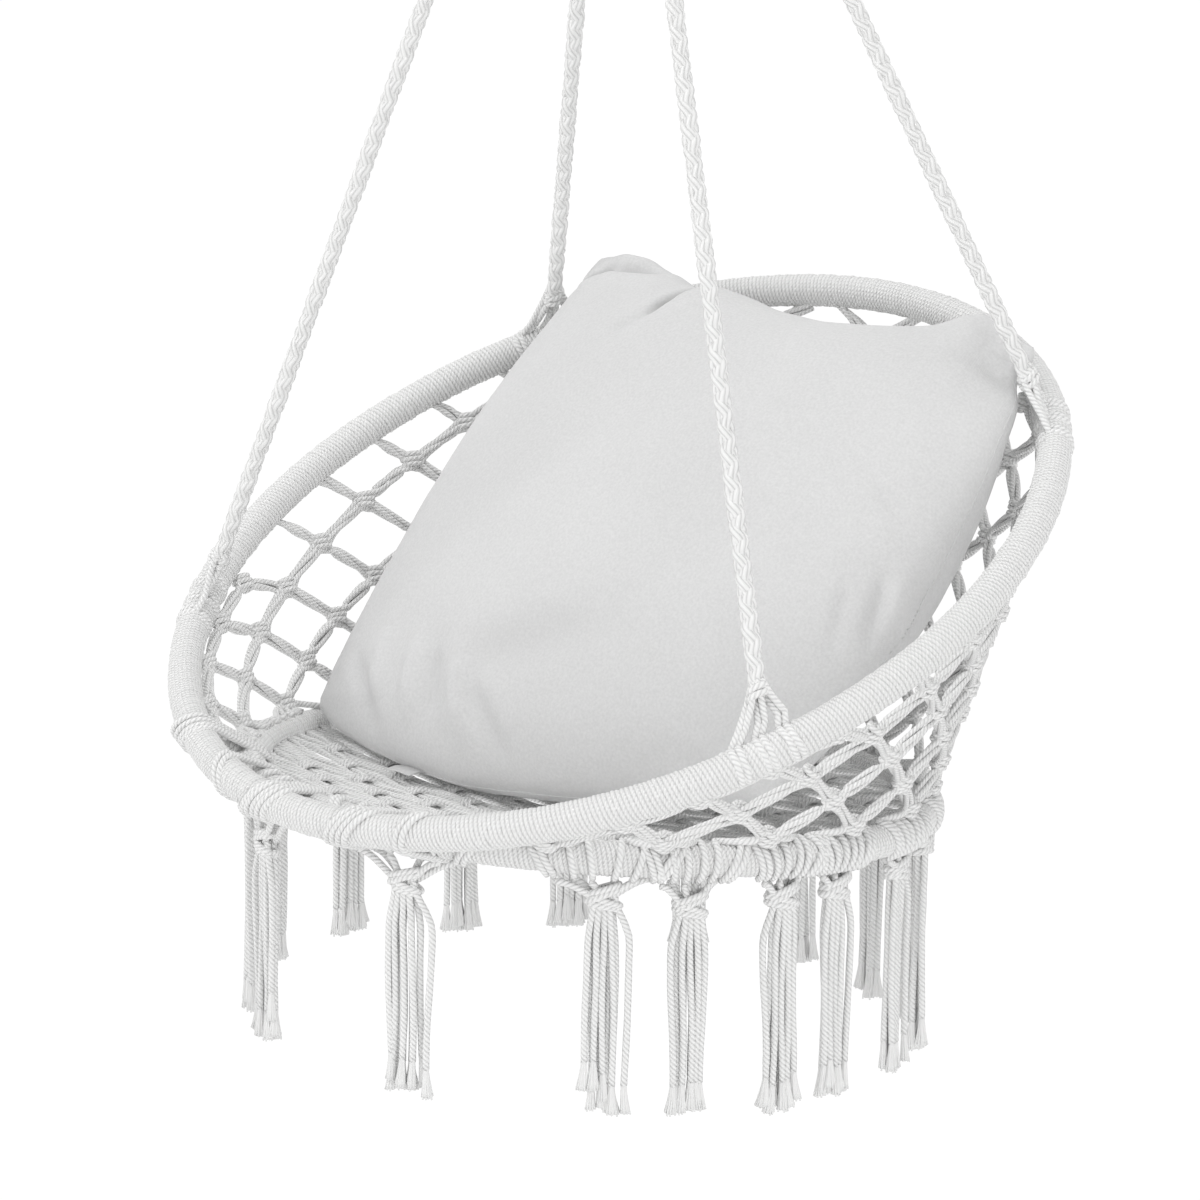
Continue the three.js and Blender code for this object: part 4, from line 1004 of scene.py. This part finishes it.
def buildCushion():
    count = cushion["grid"]
    points = np.concatenate([cushionGrid(side).reshape(-1, 3) for side in (1, -1)])
    ids = np.arange(count * count).reshape(count, count)
    frontFaces = np.stack([ids[:-1, :-1], ids[1:, :-1], ids[1:, 1:], ids[:-1, 1:]], -1).reshape(-1, 4)
    backFaces = frontFaces[:, ::-1] + count * count
    mesh = bpy.data.meshes.new("cushion_cloth")
    mesh.from_pydata(cushionToFrame(points).tolist(), [], np.concatenate([frontFaces, backFaces]).tolist())
    piece = bpy.data.objects.new("cushion_cloth", mesh)
    bpy.context.scene.collection.objects.link(piece)
    bpy.ops.object.select_all(action="DESELECT")
    piece.select_set(True)
    bpy.context.view_layer.objects.active = piece
    bpy.ops.object.mode_set(mode="EDIT")
    bpy.ops.mesh.select_all(action="SELECT")
    bpy.ops.mesh.remove_doubles(threshold=cushion["weld"])
    bpy.ops.mesh.normals_make_consistent(inside=False)
    bpy.ops.object.mode_set(mode="OBJECT")
    mesh.remesh_voxel_size = cushion["voxel"]
    bpy.ops.object.voxel_remesh()
    fillCushion(piece)
    applyModifier(piece, "SMOOTH", iterations=2)
    applyModifier(piece, "SUBSURF", levels=1, render_levels=1)
    creaseCloth(mesh)
    restOnWeb(mesh)
    mesh.polygons.foreach_set("use_smooth", np.ones(len(mesh.polygons), dtype=bool))
    mesh.update()
    return piece


def castOnto(tree, place, outside):
    # the cloth's surface where a ray from outside meets it on its way to a place
    origin = Vector(cushionToFrame(place + outside))
    heading = Vector(cushionToFrame(place)) - origin
    return tree.ray_cast(origin, heading.normalized())[:2]


def buildSeam(tree):
    # the stitched edge where the two panels meet, laid on the finished cloth
    grid = cushionGrid(1)
    border = np.concatenate([grid[:, 0], grid[-1, 1:], grid[-2::-1, -1], grid[0, -2::-1]])
    path = []
    for place in resample(border, cushion["seamStep"])[0]:
        outward = place * np.array([1, 1, 0]) / np.hypot(place[0], place[1])
        hit, _ = castOnto(tree, place, outward * cushion["outside"])
        if hit is not None:
            path.append(np.array(hit))
    return Strands().add(path, cushion["seam"], twisted=False)


cushionPiece = buildCushion()
dress(cushionPiece, cushionCotton, "cushion", ["cushion_cover", "cushion_filling"])
clothTree = BVHTree.FromObject(cushionPiece, bpy.context.evaluated_depsgraph_get())
buildSeam(clothTree).piece("cushion_seam", cushionCotton, "cushion", slot="cotton_cloth")
print("cushion filled:", len(cushionPiece.data.polygons), "faces")

# the zip behind, near the lower seam: teeth between two folded edges of the cover, and a slider
zipLine = {"reach": 0.186, "middle": -0.2547, "rise": 0.0202, "step": 0.0011, "root": 0.0010, "tip": 0.0016,
           "sink": 0.0008, "lip": 0.0036, "lipRadius": 0.0017, "slider": (0.0032, 0.009),
           "tab": (0.0012, 0.018), "tabLift": 0.0016, "behind": 0.2}


def zipPath(tree, places, lift, shift=0.0):
    path = []
    for x in places:
        y = zipLine["middle"] + zipLine["rise"] * (x / zipLine["reach"]) ** 2 + shift
        hit, normal = castOnto(tree, np.array([x, y, 0]), np.array([0, 0, -zipLine["behind"]]))
        path.append(np.array(hit) + np.array(normal) * lift)
    return path


def buildZip(tree):
    reach, sink = zipLine["reach"], -zipLine["sink"]
    along = np.linspace(-reach, reach, int(2 * reach / zipLine["step"]))
    radii = np.where(np.arange(len(along)) % 2, zipLine["root"], zipLine["tip"])
    teeth = Strands().add(zipPath(tree, along, sink), radii, 8, twisted=False)
    radius, length = zipLine["slider"]
    end = reach - length
    places = [end + length * t for t in (0, 0.2, 0.8, 1)]
    teeth.add(zipPath(tree, places, 0.0), np.array([0.6, 1, 1, 0.5]) * radius, 8, twisted=False)
    radius, length = zipLine["tab"]
    places = [end - length * t for t in (-0.2, 0, 0.5, 0.9, 1)]
    radii = np.array([0.6, 1, 1.3, 1.3, 0.8]) * radius
    teeth.add(zipPath(tree, places, zipLine["tabLift"]), radii, 8, twisted=False)
    lips = Strands()
    for shift in (-zipLine["lip"], zipLine["lip"]):
        lips.add(zipPath(tree, along[::4], sink, shift), zipLine["lipRadius"], twisted=False)
    return teeth, lips


zipTeeth, zipLips = buildZip(clothTree)
zipTeeth.piece("cushion_zip_teeth", zipPlastic, "cushion", ["cushion_zip"], slot="zip_plastic")
zipLips.piece("cushion_zip_lips", cushionCotton, "cushion", slot="cotton_cloth")
print("zip sewn")

# a small bare tag sewn into the lower seam, lying forward over the web
tag = {"x": -0.118, "y": -0.2840, "width": 0.030, "length": 0.020, "thickness": 0.0005, "curl": 0.0012}


def buildTag():
    bpy.ops.object.select_all(action="DESELECT")
    bpy.ops.mesh.primitive_grid_add(x_subdivisions=12, y_subdivisions=10, size=1)
    piece = bpy.context.active_object
    piece.name = piece.data.name = "care_tag"
    flat = readPoints(piece.data)
    across, reach = flat[:, 0], 0.5 - flat[:, 1]
    lift = tag["curl"] * (np.sin(reach * math.pi) + 0.4 * np.cos(across * fullTurn))
    # level with the frame, not with the leaning cushion
    level = leanOver(np.stack([across * tag["width"], -reach * tag["length"], lift], -1), -cushion["lean"])
    piece.data.vertices.foreach_set("co", cushionToFrame(level + np.array([tag["x"], tag["y"], 0])).ravel())
    piece.data.update()
    applyModifier(piece, "SOLIDIFY", thickness=tag["thickness"], offset=0)
    bpy.ops.object.shade_smooth()
    dress(piece, cushionCotton, "cushion", ["care_label"])


buildTag()
print("tag sewn")

# top fittings
fittings = {"ringRadius": 0.029, "ringCentre": -0.025, "bindingReach": 0.0052, "bindingTurns": 9,
            "bindingArc": math.radians(56), "bindingCord": 0.0015, "bendRadius": 0.0126, "eyeEnd": -0.120,
            "eyePlait": (0.0026, 0.0009, 0.034), "eyeStrand": 0.0029, "whipReach": 0.0212,
            "whipTurns": 11, "whipLow": -0.140, "whipHigh": -0.096, "whipCord": 0.00225}


def buildBinding():
    turns, reach = fittings["bindingTurns"], fittings["bindingReach"]
    steps = np.linspace(0, turns, turns * 12 + 1)
    arc = (steps / turns - 0.5) * fittings["bindingArc"]
    outward = np.stack([np.sin(arc), 0 * arc, -np.cos(arc)], -1)
    path = lay(up * fittings["ringCentre"],
               (outward, fittings["ringRadius"] + reach * np.cos(steps * fullTurn)),
               (np.array([0, 1, 0]), reach * np.sin(steps * fullTurn)))
    return Strands().add(path, fittings["bindingCord"], 7)


def buildEye():
    bend = fittings["bendRadius"]
    bottom = fittings["ringCentre"] - fittings["ringRadius"]
    swing = np.linspace(0, math.pi, 25)
    arc = np.stack([0 * swing, -bend * np.cos(swing), bottom + bend * np.sin(swing)], -1)
    control = np.concatenate([[[0, -bend, fittings["eyeEnd"]]], arc, [[0, bend, fittings["eyeEnd"]]]])
    line, at = resample(control, 0.0025)
    return Strands().add(plait(line, at, *fittings["eyePlait"]), fittings["eyeStrand"], 8)


def buildWhipping():
    turns, reach = fittings["whipTurns"], fittings["whipReach"]
    swing = np.linspace(0, turns, turns * 24 + 1) * fullTurn
    z = np.linspace(fittings["whipLow"], fittings["whipHigh"], len(swing))
    path = np.stack([reach * np.cos(swing), reach * np.sin(swing), z], -1)
    return Strands().add(path, fittings["whipCord"], 7)


buildBinding().piece("ring_binding_turns", cordCotton, "binding", ["ring_binding"])
buildEye().piece("rope_eye_plait", strandCotton, "eye", ["rope_eye"])
buildWhipping().piece("whipping_turns", cordCotton, "chair", ["rope_whipping"])

for node in ("hanging_ring", "back_hoop_tube", "back_hoop_spigot", "seat_hoop_tube", "seat_hoop_spigot"):
    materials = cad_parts[node].data.materials
    materials.clear()
    materials.append(ringSteel if node == "hanging_ring" else tubeSteel)
print("fittings made")

# floor, backdrop light and lamps
studio = {"floor": -2.3, "ambient": 0.72, "floorShare": 0.90, "floorGlow": 1.06, "aim": Vector((0, 0, -1.05)),
          "lamps": (("key", (-2.2, -3.2, 0.7), 2.4, 52.0), ("fill", (3.4, -1.8, -1.0), 2.6, 38.0),
                    ("top", (0.2, 0.4, 2.6), 2.2, 34.0))}


def seenMask(start):
    # camera, glossy and transmitted rays see the white background; light on the object doesn't change
    path = start.node("ShaderNodeLightPath")
    return (path + path.out("Is Glossy Ray") + path.out("Is Transmission Ray")).clamp()


def buildFloor():
    bpy.ops.object.select_all(action="DESELECT")
    bpy.ops.mesh.primitive_plane_add(size=30, location=(0, 0, studio["floor"]))
    floor = bpy.context.active_object
    floor.name = "floor"
    material, shader, start = newMaterial("paleFloor", 0.9)
    shader.inputs["Base Color"].default_value = grey(0.9)
    glow = start.node("ShaderNodeEmission", {}, {"Color": grey(1), "Strength": studio["floorGlow"]})
    surface = Wire(start.tree, shader.outputs["BSDF"])
    seen = seenMask(start) * studio["floorShare"]
    mixed = start.node("ShaderNodeMixShader", {}, {0: seen, 1: surface, 2: glow})
    feed(mixed, start.tree.nodes["Material Output"], "Surface")
    floor.data.materials.append(material)


def buildLamps():
    for name, place, size, power in studio["lamps"]:
        lamp = bpy.data.lights.new(name, "AREA")
        lamp.energy, lamp.size = power, size
        obj = bpy.data.objects.new(name, lamp)
        obj.location = place
        obj.rotation_euler = (studio["aim"] - Vector(place)).to_track_quat("-Z", "Y").to_euler()
        bpy.context.scene.collection.objects.link(obj)


def buildSky():
    world = bpy.data.worlds.new("studio")
    bpy.context.scene.world = world
    world.use_nodes = True
    sky = world.node_tree.nodes["Background"]
    sky.inputs["Color"].default_value = grey(1)
    strength = seenMask(Wire(world.node_tree, None)) * (1.0 - studio["ambient"]) + studio["ambient"]
    feed(strength, sky, "Strength")


buildFloor()
buildSky()
buildLamps()
bpy.context.scene.view_settings.view_transform = "Standard"
print("studio lit")
